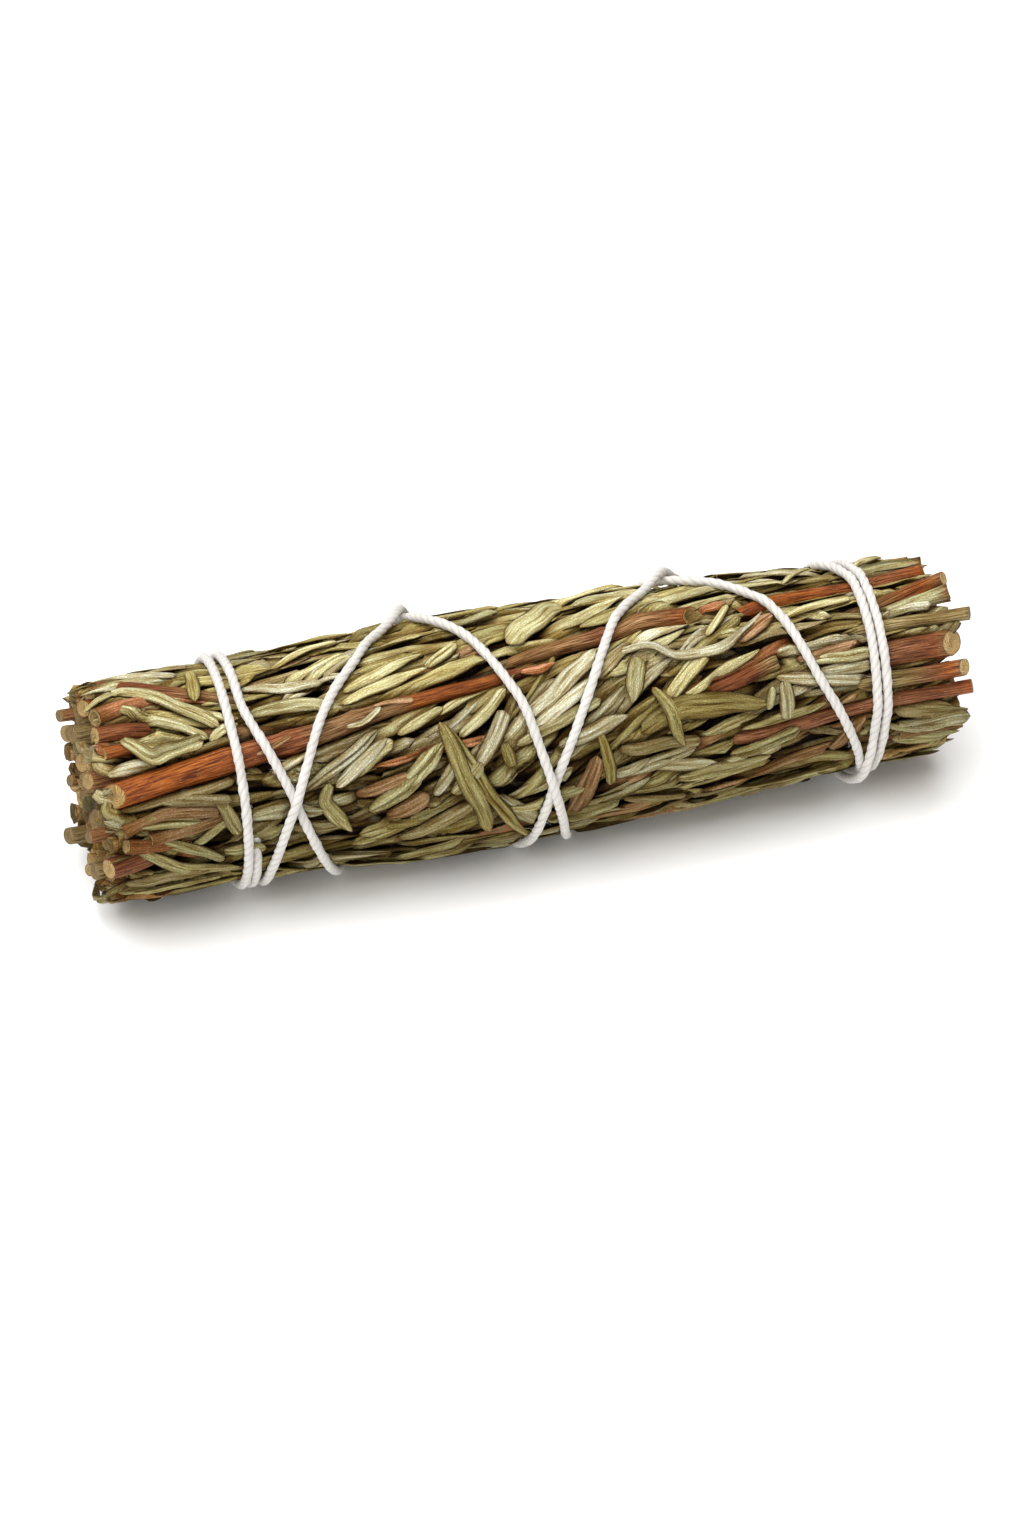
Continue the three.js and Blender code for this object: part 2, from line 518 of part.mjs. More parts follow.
function restRadius(x, degrees, stems) {
  let radius = surfaceRadius(x) + STRING_LIFT;
  stems.forEach((stations) => {
    if (x < stations[0][0] || x > stations[stations.length - 1][0]) return;
    const stemRadius = interpolate(stations, x, 2);
    const orbit = surfaceRadius(x) - stemRadius + interpolate(stations, x, 3);
    const turn = (((degrees - interpolate(stations, x, 1)) % 360) + 540) % 360 - 180;
    const across = turn * DEGREE * orbit;
    const reach = stemRadius + STRING_RADIUS + GAP;
    if (Math.abs(across) >= reach) return;
    radius = Math.max(radius, orbit + Math.sqrt(reach * reach - across * across));
  });
  return radius;
}

// The rests under a point and close before and behind it, so that the string bends softly over a stem
function stringPoint(route, place01, stems) {
  const [x, degrees, lift] = routePoint(route, place01);
  let radius = 0;
  [-0.12, -0.06, 0, 0.06, 0.12].forEach((step) => {
    const near = Math.min(Math.max(place01 + step, 0), route.length - 1);
    const [nearX, nearDegrees] = routePoint(route, near);
    radius = Math.max(radius, restRadius(nearX, nearDegrees, stems));
  });
  const point = place(x, degrees, radius + lift);
  point.z = Math.max(point.z, STRING_LOWEST);
  return point;
}

function stringLine(route, stems) {
  const points = [];
  for (let i = 0; i + 1 < route.length; i++) {
    const length = stringPoint(route, i, stems).distanceTo(stringPoint(route, i + 1, stems));
    const steps = Math.max(1, Math.round(length / STRING_STEP));
    for (let k = 0; k < steps; k++) points.push(stringPoint(route, i + k / steps, stems));
  }
  points.push(stringPoint(route, route.length - 1, stems));
  return points;
}

function knotPoints(stems) {
  const [x, degrees] = KNOT_PLACE;
  const centre = place(x, degrees, restRadius(x, degrees, stems) + KNOT_LIFT);
  const out = place(x, degrees, 1).sub(place(x, degrees, 0)).normalize();
  const along = new THREE.Vector3(1, 0, 0);
  const around = out.clone().cross(along);
  return Array.from({ length: KNOT_STEPS }, (_, i) => {
    const t = (2 * Math.PI * i) / KNOT_STEPS;
    return centre.clone()
      .addScaledVector(along, KNOT_SIZE * (Math.sin(t) + 2 * Math.sin(2 * t)))
      .addScaledVector(around, KNOT_SIZE * (Math.cos(t) - 2 * Math.cos(2 * t)))
      .addScaledVector(out, -KNOT_SIZE * KNOT_DEPTH * Math.sin(3 * t));
  });
}

function ringBar(points, radius, sides, grow) {
  const half = Math.ceil(points.length / 2);
  const radii = (list) => list.map(() => radius);
  const first = points.slice(0, half + 1);
  const second = [...points.slice(half), points[0]];
  const fatter = roundBar(first, radii(first), sides, grow + KNOT_OVERLAP);
  return fatter.add(roundBar(second, radii(second), sides, grow));
}

function stringSolid(stems, grow = 0) {
  const bar = (points) => roundBar(points, points.map(() => STRING_RADIUS), STRING_SIDES, grow);
  const line = stringLine(STRING_ROUTE, stems);
  const split = line.length - KNOT_STRETCH;
  const stretches = [line.slice(0, split + 1), line.slice(split - 1)];
  const ends = KNOT_ENDS.map((route) => bar(stringLine(route, stems)));
  const knot = ringBar(knotPoints(stems), STRING_RADIUS, STRING_SIDES, grow);
  return cleaned(joined([...stretches.map(bar), knot, ...ends]));
}

// Inner bunch
function innerStemPlace(i) {
  if (i === 0) return [0, 0];
  const angle = (60 * i + 15) * DEGREE;
  return [INNER_RING_RADIUS * Math.cos(angle), INNER_RING_RADIUS * Math.sin(angle)];
}

function innerStem(i, grow = 0) {
  const random = makeRandom(900 + i);
  const [y, z] = innerStemPlace(i);
  const left = new THREE.Vector3(INNER_STEM_LEFT + 2.5 * random(), y, AXIS_HEIGHT + z);
  const right = new THREE.Vector3(INNER_STEM_RIGHT + 3 * random() - 1, y, AXIS_HEIGHT + z);
  return roundBar([left, right], [INNER_STEM_RADII[i], INNER_STEM_RADII[i]], 8, grow);
}

function innerLeaves() {
  const random = makeRandom(77);
  const ring = (x) => Array.from({ length: 12 }, (_, i) => place(x, 30 * i, INNER_BUNCH_RADIUS));
  const core = loft([ring(CORE_LEFT + 1), ring(CORE_RIGHT - 1)]);
  const blades = [];
  [-1, 1].forEach((side) => {
    for (let i = 0; i < 6; i++) {
      const degrees = 60 * i + 22 * side;
      const depth = 7.9 - 2.4 * (i % 2);
      const tip = side < 0 ? -73 - 2.5 * random() : 70 + 4 * random();
      const root = side < 0 ? -62 : 58;
      const height = (x) => depth - surfaceRadius(x);
      blades.push(blade({
        from: [root, degrees], to: [tip, degrees], width: INNER_LEAF_WIDTH, thickness: LEAF_THICKNESS,
        heights: BLADE_SHARES.map((share) => height(root + share * (tip - root))),
      }));
    }
  });
  return joined([core, ...blades]);
}

function meshOf(name, solid, material) {
  const geometry = geometryOf(solid);
  geometry.computeVertexNormals();
  const mesh = new THREE.Mesh(geometry, new THREE.MeshStandardMaterial(material));
  mesh.name = name;
  return mesh;
}

// Everything is made first, then the foliage is cut clear of the stems, the string and its neighbours
function buildStick() {
  const stick = new THREE.Group();
  const number = (i) => String(i + 1).padStart(2, "0");
  const sprigStems = Array.from({ length: SPRIGS }, (_, i) => sprigStations(i));
  const branches = Object.values(BRANCHES);
  const stems = [...sprigStems, ...branches];

  const stringCutter = stringSolid(stems, GAP);
  const leafCutter = joined([
    stringCutter,
    ...sprigStems.map((stations) => stemSolid(stations, 6, GAP)),
    ...branches.map((stations) => stemSolid(stations, 6, GAP)),
  ]);
  const innerStemCutter = joined(INNER_STEM_RADII.map((_, i) => innerStem(i, GAP)));

  // Where the string bites a little into the bark
  const barked = (stations) => cleaned(stemSolid(stations, 6).subtract(stringCutter));

  const foliage = Array.from({ length: SPRIGS }, (_, sprig) => {
    const random = makeRandom(100 + sprig);
    const core = sprigCore(sprig, random);
    const leaves = [...laneLeaves(sprig, random), ...endLeaves(sprig, random)];
    return joined([core, ...leaves]).intersect(sprigRoom(sprig));
  });
  const addLeaf = (owner, make) => {
    foliage.forEach((solid, sprig) => {
      foliage[sprig] = sprig === owner ? solid.add(make(0)) : solid.subtract(make(GAP));
    });
  };
  FEET.forEach((foot) => addLeaf(sprigAt(...foot), (grow) => footLeaf(foot, grow)));
  MARKED_LEAVES.forEach((leaf) => addLeaf(sprigAt(leaf[0], leaf[1]), (grow) => markedLeaf(leaf, grow)));

  foliage.forEach((solid, sprig) => {
    const trimmed = welded(cleaned(solid.subtract(leafCutter).trimByPlane([0, 0, 1], 0)));
    const material = sprig % 3 === 1 ? GREY_LEAF_MATERIAL : LEAF_MATERIAL;
    stick.add(meshOf(`sprig_${number(sprig)}_leaves`, trimmed, material));
  });
  sprigStems.forEach((stations, sprig) => {
    stick.add(meshOf(`sprig_${number(sprig)}_stem`, barked(stations), STEM_MATERIAL));
  });
  Object.entries(BRANCHES).forEach(([name, stations]) => {
    const material = GREY_BRANCHES.includes(name) ? GREY_STEM_MATERIAL : STEM_MATERIAL;
    stick.add(meshOf(name, barked(stations), material));
  });
  const inner = cleaned(innerLeaves().subtract(innerStemCutter));
  stick.add(meshOf("inner_leaves", inner, INNER_LEAF_MATERIAL));
  INNER_STEM_RADII.forEach((_, i) => {
    stick.add(meshOf(`inner_stem_${number(i)}`, innerStem(i), STEM_MATERIAL));
  });
  stick.add(meshOf("string", stringSolid(stems), STRING_MATERIAL));
  return stick;
}

export default buildStick();
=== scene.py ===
"""A sage smudge stick: fine leaves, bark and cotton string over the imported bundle.

Sizes are in millimetres and turned into metres where a mesh is made. Places on the bundle are given as
x along it and degrees round it: 0 is the top, 90 the side that faces the camera.
"""

import math

import bpy
import numpy as np
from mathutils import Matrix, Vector


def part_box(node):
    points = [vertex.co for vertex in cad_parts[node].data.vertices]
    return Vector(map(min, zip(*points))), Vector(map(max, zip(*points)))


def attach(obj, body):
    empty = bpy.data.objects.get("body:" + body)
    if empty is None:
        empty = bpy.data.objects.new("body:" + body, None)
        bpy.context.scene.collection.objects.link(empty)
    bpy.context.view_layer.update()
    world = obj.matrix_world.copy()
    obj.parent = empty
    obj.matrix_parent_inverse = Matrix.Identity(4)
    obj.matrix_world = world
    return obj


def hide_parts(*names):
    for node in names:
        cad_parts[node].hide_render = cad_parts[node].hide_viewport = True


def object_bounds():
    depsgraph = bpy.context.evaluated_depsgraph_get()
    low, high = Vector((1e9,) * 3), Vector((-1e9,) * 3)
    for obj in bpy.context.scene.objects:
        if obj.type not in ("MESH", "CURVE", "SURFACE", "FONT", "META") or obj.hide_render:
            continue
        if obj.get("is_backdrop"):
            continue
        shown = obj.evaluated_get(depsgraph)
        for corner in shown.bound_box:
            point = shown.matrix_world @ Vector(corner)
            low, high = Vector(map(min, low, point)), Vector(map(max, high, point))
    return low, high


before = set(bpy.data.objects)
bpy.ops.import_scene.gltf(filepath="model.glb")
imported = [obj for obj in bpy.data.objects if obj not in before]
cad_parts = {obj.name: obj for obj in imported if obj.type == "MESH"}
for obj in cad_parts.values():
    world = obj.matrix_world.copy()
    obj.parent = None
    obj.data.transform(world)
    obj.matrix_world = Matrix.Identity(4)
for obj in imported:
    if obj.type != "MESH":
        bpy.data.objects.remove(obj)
cad_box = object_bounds()

MM = 0.001
DEGREE = math.pi / 180
LEAF_SEED, HERO_SEED, END_SEED, STRING_SEED = 11, 23, 31, 5
BRANCH_SEED, SPRIG_SEED, INNER_SEED = 199, 300, 400

# The bundle, as in the part's source
AXIS_HEIGHT = 19.3
CORE_LEFT = -70.5
CORE_RIGHT = 67
MEAN_RADIUS = 18.5
PROFILE_X = [-80, -66, -50, -36, -24, -13, 0, 12, 22, 33, 43, 52, 58, 68, 80]
PROFILE_RADIUS = [18.4, 18.7, 18.4, 18.6, 19.4, 19.7, 19.5, 19.2, 18.9, 18.7, 18.1, 17.5, 17.0, 16.5, 16.0]
SPRIGS = 9
SPRIG_START = 20
SPRIG_STEP = 360 / SPRIGS
LEAN = 24
LEAN_LENGTH = 54
INNER_RADIUS = 10
GAP = 0.3
STRING_RADIUS = 0.7
STRING_LIFT = 0.3
STRING_LOWEST = 1.1
CROSSING = 1.6

# Stems near the surface, branch_01 to branch_15. Each is a list of stations: x, degrees, radius and how
# far the bark stands proud of the leaf tops
BRANCHES = [
    [
        [-70.6, 56, 2.1, 0.5], [-50, 46, 2.1, -0.3], [-38, 41, 1.9, -0.3], [-24, 34, 1.4, -0.1],
        [-10, 30, 1.1, -0.3], [2, 24, 0.85, -1.6],
    ],
    [
        [-6, 20, 0.9, -1.9], [3, 17, 1.2, 0], [14.7, 12, 1.45, 0.1], [20, 7, 1.6, 0.4], [28.7, 8, 1.6, 0.6],
    ],
    [[50, 21, 1.0, -2.6], [60, 16, 1.1, -0.6], [68, 8, 1.15, 0], [73.4, 1, 1.15, 0.1]],
    [[47, 50, 1.7, -3.2], [56, 49, 2.0, -0.8], [65, 48, 2.1, 0], [71.5, 48, 2.1, 0.2]],
    [[44, 64, 1.2, -3.4], [56, 64.5, 1.5, -0.8], [66, 65, 1.45, -0.2], [73, 65, 1.4, -0.2]],
    [[24, 56, 1.0, -3], [32, 51, 1.2, -0.2], [36.5, 47, 1.2, 0.1], [41, 43, 1.1, -0.3]],
    [[-72, -5, 1.45, -0.9], [-63, -9, 1.4, -2.6], [-52, -12, 1.2, -3]],
    [[-71.6, 20, 1.4, -0.4], [-66, 21, 1.4, -0.4], [-60, 21, 1.3, -2.2], [-48, 20, 1.2, -3.4]],
    [[-71, 32, 1.1, -0.4], [-67, 31.5, 1.1, -0.6], [-58, 30, 1.0, -2.6], [-50, 29, 0.9, -3.4]],
    [[-72.4, 102, 1.7, -0.6], [-67, 97, 1.7, -0.6], [-60, 94, 1.5, -2.6], [-50, 92, 1.3, -3.6]],
    [[-71.5, 141, 1.0, -0.4], [-66, 140, 1.0, -1], [-56, 137, 0.9, -3]],
    [
        [-69, -18, 1.0, 0], [-63, -8, 1.0, 0.1], [-57, 2, 1.0, 0], [-49.5, 11, 0.9, -0.6],
        [-44, 15, 0.8, -2.4],
    ],
    [
        [-72, 240, 1.8, 0], [-58, 234, 1.7, 0], [-44, 228, 1.5, -0.5], [-26, 220, 1.2, -0.3],
        [-14, 216, 1.0, -1.4],
    ],
    [
        [2, 292, 0.9, -1.4], [18, 288, 1.2, 0], [34, 282, 1.5, 0], [50, 272, 1.7, -0.3], [73, 262, 1.8, 0],
    ],
    [
        [-36, 282, 0.9, -1.4], [-22, 276, 1.2, 0.1], [-8, 270, 1.3, -0.4], [8, 262, 1.2, 0],
        [18, 257, 1.0, -1.2],
    ],
]
STEM_DEPTH_RADIUS = 12  # how far the sprigs' own stems lie from the bundle's axis
# The sprigs whose stem comes up to the surface at the right end, by number
SHOWING_STEMS = {
    1: [[30, 11, 1.2, -3.5], [37, 8, 1.25, -1.2], [43, 5, 1.3, 0], [57, -2, 1.3, -0.5], [71, -10, 1.3, 0.2]],
    2: [[42, 39, 1.0, -4.4], [53, 33, 1.05, -1.8], [60, 31, 1.1, -0.4], [75.5, 31, 1.1, -0.1]],
    3: [[24, 89, 1.1, -4], [31, 84, 1.15, -1.5], [38, 82, 1.2, 0], [55, 78, 1.2, -0.5], [74, 78, 1.2, 0]],
}
INNER_RING_RADIUS = 5.6
INNER_STEM_RADII = [1.9, 1.7, 1.5, 1.9, 1.6, 1.4, 1.8]

# The string's route: x, degrees (counting on through every turn) and, where it doesn't rest, its lift
STRING_ROUTE = [
    [-48.9, 70, -3.0], [-48.7, 84, -2.2], [-48.5, 100, -1.1], [-48.4, 116, -0.3], [-48.4, 139],
    [-48.6, 180], [-49.2, 228], [-50.2, 290], [-50.1, 323], [-50.3, 379], [-50.1, 420], [-50.0, 460],
    [-50.0, 499], [-50.1, 540], [-49.9, 568, 1.2], [-49.2, 588, CROSSING], [-48.4, 610, 1.0], [-47.9, 640],
    [-47.9, 683], [-47.8, 720], [-47.7, 741], [-45.9, 760], [-43.1, 783], [-41.9, 794], [-39.8, 813],
    [-34.3, 861], [-26.5, 930], [-19.9, 1005], [-17.0, 1035], [-14.0, 1058], [-11.3, 1071], [-8.6, 1085],
    [-4.8, 1111], [-2.9, 1125], [-1.2, 1148, 0.3], [0.5, 1169, CROSSING], [2.4, 1190, 0.3], [4.8, 1220],
    [11.5, 1285], [19.2, 1350], [22.0, 1372], [25.4, 1395], [29.8, 1413], [34.9, 1427], [38.7, 1439],
    [42.6, 1456], [46.8, 1493], [49.7, 1513], [53, 1539], [55.2, 1565], [56.0, 1582], [55.8, 1620],
    [55.4, 1650], [54.6, 1690], [54.4, 1730], [54.6, 1762], [56.4, 1782], [57.5, 1801], [57.4, 1830],
    [57.0, 1854], [56.7, 1875], [56.1, 1894, 0.2], [55.4, 1914, 1.2], [55.0, 1926, CROSSING],
    [54.3, 1940, 1.0], [53.8, 1962], [53.8, 2000], [54.0, 2034, 0.8], [54.6, 2052, CROSSING],
    [56.2, 2078, 0.8], [57.6, 2105], [58.8, 2139], [59.3, 2162], [59.1, 2189], [58.8, 2212], [58.5, 2235],
    [57.9, 2257], [57.6, 2280], [57.8, 2299], [57.8, 2335], [57.2, 2353, 0.9], [55.5, 2367, CROSSING],
    [53.8, 2376, CROSSING], [51.5, 2386, 0.9], [48.5, 2399], [41, 2430], [33.4, 2464], [30.4, 2476, 0.8],
    [27.9, 2487, CROSSING], [25.2, 2497, 0.8], [22.3, 2506], [17.6, 2520], [13.1, 2539], [8.7, 2561],
    [5.4, 2578], [1.7, 2599], [-0.5, 2618], [-1.6, 2636], [-2.6, 2660], [-6.2, 2720], [-10.8, 2790],
    [-13.7, 2820, 0.5], [-16.3, 2840, CROSSING], [-19.0, 2855, 0.6], [-21.9, 2865], [-24.9, 2874],
    [-28, 2886], [-32.6, 2901], [-36.3, 2917], [-39.3, 2935, 0.5], [-41.9, 2951, CROSSING],
    [-43.8, 2967, 0.5], [-45.4, 2987], [-46.3, 3009], [-46.4, 3050], [-46.6, 3080, 0.2], [-47.4, 3098, 1.2],
    [-48.4, 3108, 2],
]
KNOT_PLACE = [-48.9, 228]
KNOT_SIZE = 0.62
KNOT_LIFT = 1.5
KNOT_ENDS = [
    [[-48.9, 228, 2.2], [-46.6, 234, 1.2], [-44.4, 241, 0.2], [-42.6, 243]],
    [[-48.9, 228, 2.2], [-51.2, 233, 1.3], [-53.4, 237, 0.2], [-55, 242]],
]


def srgb(red, green, blue):
    """A colour given as 0 to 255 in sRGB, as linear numbers."""
    share = np.array([red, green, blue]) / 255
    return np.where(share <= 0.04045, share / 12.92, ((share + 0.055) / 1.055) ** 2.4)


LEAF_TONES = {
    "olive": srgb(158, 147, 90),
    "sage": srgb(170, 163, 114),
    "grey": srgb(180, 174, 137),
    "yellow": srgb(180, 172, 118),
    "dark": srgb(126, 113, 62),
    "brown": srgb(158, 125, 86),
    "rust": srgb(164, 112, 72),
    "dusk": srgb(147, 134, 92),
}
# Painted shade: the dark warm tone that leaf margins fade to, standing in for the shade between leaves
LEAF_EDGE_SHADE = srgb(74, 52, 24)
TIP_TONE = srgb(140, 96, 52)
CUT_TONE = srgb(186, 132, 70)
# Painted shade: the colour of the packed foliage deep under the leaf tops
CORE_SHADE_TONE = srgb(56, 38, 16)
DARK_WARMTH = np.array([0.9, 1.16, 1.75])  # powers of a shade for red, green and blue: dark places are warm
ORANGE = srgb(180, 100, 36)
RED_BROWN = srgb(144, 84, 46)
DULL_RED = srgb(150, 98, 64)
GREY_BARK = srgb(164, 124, 80)
BROWN_BARK = srgb(152, 106, 64)
GREEN_BARK = srgb(162, 144, 96)
PALE_WOOD = srgb(216, 186, 128)

# Leaves that stand out in the photograph: their path over the surface, width, colour, style and how high they
# lie over the leaf tops
HERO_WIDTH = 1.15
HERO_LEAVES = [
    ((-54, -13), (-54.4, 0), (-55, 14), 2.1, "olive", "crown", 0.9),
    ((-70, -27), (-56, -12), 1.3, "grey", "crown", 0.1),
    ((-68, -4), (-65, -3), (-59, 11), (-52, 29), 2.2, "sage", "twin", 0.5),
    ((-69, 4), (-61, 21), (-54, 34), 1.8, "sage", "crown", 0.2),
    ((-60, 9), (-50, 26), 1.5, "sage", "crown", 0.1),
    ((-54, 35), (-49, 29), 1.6, "sage", "crown", 0.2),
    ((-57, 42), (-49, 36), 1.5, "sage", "crown", 0.0),
    ((-68, 27), (-64, 39), (-61, 37), (-55, 35), 2.4, "sage", "trough", 0.3),
    ((-71, 44), (-63, 43), 2.2, "grey", "crown", -0.3),
    ((-70, 64), (-51, 58), 1.9, "dusk", "crown", -0.7),
    ((-59, 90), (-53, 78), 1.5, "sage", "crown", 0.0),
    ((-55, 65), (-53, 74), (-51, 86), 2.0, "sage", "trough", 0.2),
    ((-66, 81), (-58, 93), (-54, 103), 2.0, "sage", "crown", 0.0),
    ((-68, 87), (-60, 103), (-51, 111), 2.6, "sage", "flat", 0.3),
    ((-69, 125), (-54, 117), 1.4, "yellow", "crown", 0.1),
    ((-54, 98), (-47, 99), 2.8, "sage", "flat", 0.0),
    ((-49.3, 79), (-37, 81), 3.2, "grey", "flat", 0.45),
    ((-41, -37), (-26, -24), 1.4, "olive", "crown", 0.2),
    ((-41, -6), (-29, -17), 1.7, "yellow", "crown", 0.2),
    ((-47, 7), (-34, 14), 1.9, "grey", "twin", 0.0),
    ((-47, 25), (-34, 27), 2.2, "sage", "crown", 0.0),
    ((-45, 57), (-38, 48), 1.7, "grey", "crown", 0.0),
    ((-43, 89), (-34, 90), 2.2, "dusk", "crown", -0.2),
    ((-40, 69), (-34, 58), (-27, 45), 2.0, "grey", "twin", 0.1),
    ((-35, 70), (-26, 49), 2.3, "grey", "crown", 0.2),
    ((-32, 66), (-25, 51), 2.4, "sage", "flat", 0.1),
    ((-32, 76), (-20, 69), 2.2, "brown", "crown", -0.4),
    ((-36, 67), (-37, 78), (-33, 95), 2.3, "yellow", "flat", 0.5),
    ((-30, 86), (-21, 69), 2.7, "sage", "twin", 0.1),
    ((-27, 92), (-20, 82), 2.7, "brown", "crown", -0.3),
    ((-31, 22), (-17, 9), 1.9, "yellow", "crown", 0.2),
    ((-32, 27), (-17, 17), 1.9, "yellow", "crown", 0.2),
    ((-14, -24), (-1, -27), 1.5, "olive", "crown", 0.2),
    ((9, -19), (4, -6), (-3, 11), 3.9, "yellow", "flat", 0.4),
    ((-17, 16), (-11, 6), 1.9, "yellow", "twin", 0.2),
    ((-2, 27), (4, 26), 1.4, "rust", "crown", 0.1),
    ((-24, 48), (-16, 39), 1.5, "sage", "crown", 0.0),
    ((-17, 42), (-5, 30), 1.5, "sage", "crown", 0.2),
    ((-14, 55), (-5, 35), 1.9, "sage", "twin", 0.1),
    ((-12, 73), (-6, 46), 2.4, "grey", "crown", 0.1),
    ((-3, 51), (4, 38), (11, 22), 2.9, "grey", "flat", 0.3),
    ((-3, 59), (11, 34), 2.2, "grey", "crown", 0.0),
    ((-5, 63), (10, 48), 1.9, "sage", "crown", 0.0),
    ((-7, 61), (-6, 73), 1.9, "olive", "flat", 0.2),
    ((-25, 75), (-17, 56), 3.0, "sage", "twin", 0.1),
    ((-19, 83), (-15, 62), 2.1, "grey", "crown", 0.0),
    ((-16, 84), (-11, 69), 2.6, "sage", "crown", 0.0),
    ((-25, 109), (-12, 89), 2.2, "dusk", "crown", 0.0),
    ((-9, 89), (-1, 111), 2.8, "grey", "flat", 0.1),
    ((-16, 49), (-9, 91), (-2, 127), 2.0, "olive", "twin", 0.5),
    ((-17, 46), (-15, 65), (-10, 108), 2.8, "olive", "flat", 0.9),
    ((4, 110), (8, 75), 3.2, "brown", "trough", 0.3),
    ((9, 64), (10, 92), 1.8, "olive", "trough", 0.7),
    ((30, 6), (35, 4), 1.7, "rust", "crown", 0.1),
    ((30, 23), (35, 6), 1.6, "sage", "crown", 0.1),
    ((14, 25), (20, 25), (25, 33), (33, 30), (40, 15), 1.8, "grey", "crown", 0.7),
    ((18, 29), (15, 52), 3.0, "sage", "flat", 0.2),
    ((21, 53), (29, 34), 2.5, "yellow", "crown", 0.1),
    ((23, 56), (38, 36), 1.7, "yellow", "crown", 0.1),
    ((16, 68), (23, 59), (38, 63), 3.9, "dark", "flat", 0.3),
    ((19, 46), (21, 59), (23, 78), 2.6, "olive", "flat", 0.7),
    ((12, 76), (26, 77), 2.3, "dusk", "crown", -0.2),
    ((10, 89), (17, 82), 1.7, "grey", "crown", 0.0),
    ((12, 89), (25, 81), 2.1, "grey", "twin", 0.0),
    ((15, 87), (29, 93), 2.4, "grey", "flat", 0.0),
    ((13, 109), (24, 115), 1.8, "dusk", "crown", 0.0),
    ((21, 129), (25, 118), 2.0, "dusk", "crown", 0.0),
    ((46, -7), (52, -19), 1.5, "sage", "crown", 0.8),
    ((59, -19), (66, -34), 1.6, "sage", "crown", 0.8),
    ((42, 11), (56, 6), 1.5, "olive", "crown", 0.2),
    ((43, 19), (56, 11), 1.5, "yellow", "crown", 0.2),
    ((35, 29), (42, 16), 2.3, "brown", "twin", 0.1),
    ((60, 27), (69, 23), 1.6, "grey", "crown", 0.2),
    ((44, 44), (56, 40), 1.9, "brown", "crown", 0.1),
    ((40, 52), (48, 56), (56, 61), 2.2, "grey", "flat", 0.1),
    ((33, 77), (48, 70), 2.1, "yellow", "twin", 0.1),
    ((38, 68), (39, 56), 1.6, "sage", "crown", 0.3),
    ((41, 54), (41, 74), 2.6, "grey", "flat", 0.5),
    ((58, 92), (65, 102), 1.6, "sage", "crown", 0.2),
    ((60, 84), (73, 91), 2.5, "dusk", "trough", 0.2),
    ((49, 103), (55, 83), 2.3, "brown", "flat", 0.1),
    ((45, 47), (59, 46), 2.4, "sage", "twin", 0.5),
    ((47, 52), (58, 52), 2.2, "grey", "fold", 0.4),
    ((31, 90), (43, 80), 2.5, "sage", "twin", 0.4),
    ((28, 95), (40, 88), 2.2, "grey", "fold", 0.2),
    ((60, 95), (73.5, 97), 3.4, "grey", "twin", 0.2),
    ((-32, 41), (-26, 34.5), 0.9, "grey", "trough", 0.9),
    ((-27, 33), (-20.5, 34), 0.8, "brown", "flat", 0.9),
    ((-47, 46.5), (-41, 41), 0.9, "brown", "flat", 0.9),
    ((60, 106), (72, 110), 3.0, "sage", "fold", 0.2),
    ((-66, 60), (-52, 68), 2.2, "dusk", "fold", 0.0),
    ((-69, 72), (-57, 76), 2.4, "sage", "twin", 0.2),
    ((-70, 112), (-56, 108), 2.6, "dusk", "fold", 0.1),
    ((-8, 100), (6, 92), 2.6, "sage", "fold", 0.1),
    ((22, 100), (38, 95), 2.8, "sage", "twin", 0.1),
    ((2, 68), (14, 58), 2.6, "grey", "fold", 0.1),
]

# Small twigs and rolled leaves at the ends of the bundle, part of the foliage: stations and colour
END_TWIGS = [
    ([[-70, 75, 1.2, 0.4], [-66, 71, 1.0, 0.5], [-61.7, 69, 1.2, 0.6], [-54, 73, 0.9, 0.0]], "brown"),
    ([[-69.7, 83, 1.15, 0.4], [-64.9, 86, 1.2, 0.3], [-59, 88, 0.9, -0.6]], "rust"),
    ([[-66, 82, 1.1, 0.3], [-59.4, 79, 1.2, 0.4], [-52, 76, 0.9, -0.4]], "brown"),
    ([[-71, 9, 1.5, 0.2], [-66, 6, 1.2, 0.2], [-58, 3, 0.9, -0.8]], "rust"),
    ([[-70.4, -12, 1.3, 0.1], [-64, -14, 1.1, 0.0], [-56, -16, 0.9, -0.8]], "sage"),
    ([[59, -15, 1.1, 0.2], [66, -19, 1.2, 0.3], [71.6, -22, 1.6, 0.2]], "sage"),
    ([[60, -33, 1.0, 0.0], [67, -35, 1.2, 0.1], [70.5, -36, 1.3, 0.1]], "olive"),
    ([[61, 24, 1.2, 0.1], [67, 19, 1.3, 0.2], [73.2, 13, 1.6, 0.1]], "sage"),
    ([[61, 103, 1.2, 0.0], [67, 104, 1.2, 0.1], [72.6, 105, 1.5, 0.0]], "brown"),
]


def surface_radius(x):
    """Radius of the surface that the leaf tops form."""
    return np.interp(x, PROFILE_X, PROFILE_RADIUS)


def place(x, degrees, radius):
    """The point at a place on the bundle, that far from its axis."""
    angle = np.asarray(degrees) * DEGREE
    across = -radius * np.sin(angle)
    return np.stack(np.broadcast_arrays(x, across, AXIS_HEIGHT + radius * np.cos(angle)), axis=-1)


def sprig_middle(sprig, x):
    """Degrees of the middle of a sprig's slice, which leans round the bundle."""
    return SPRIG_START + SPRIG_STEP * sprig - LEAN * math.sin(x / LEAN_LENGTH)


def sprig_at(x, degrees):
    """The sprig in whose slice a place lies."""
    turned = (degrees + LEAN * math.sin(x / LEAN_LENGTH) - SPRIG_START) / SPRIG_STEP
    return round(turned) % SPRIGS


def away_from(degrees, middle):
    """How far round the bundle a place lies from another, between -180 and 180 degrees."""
    return (degrees - middle + 180) % 360 - 180


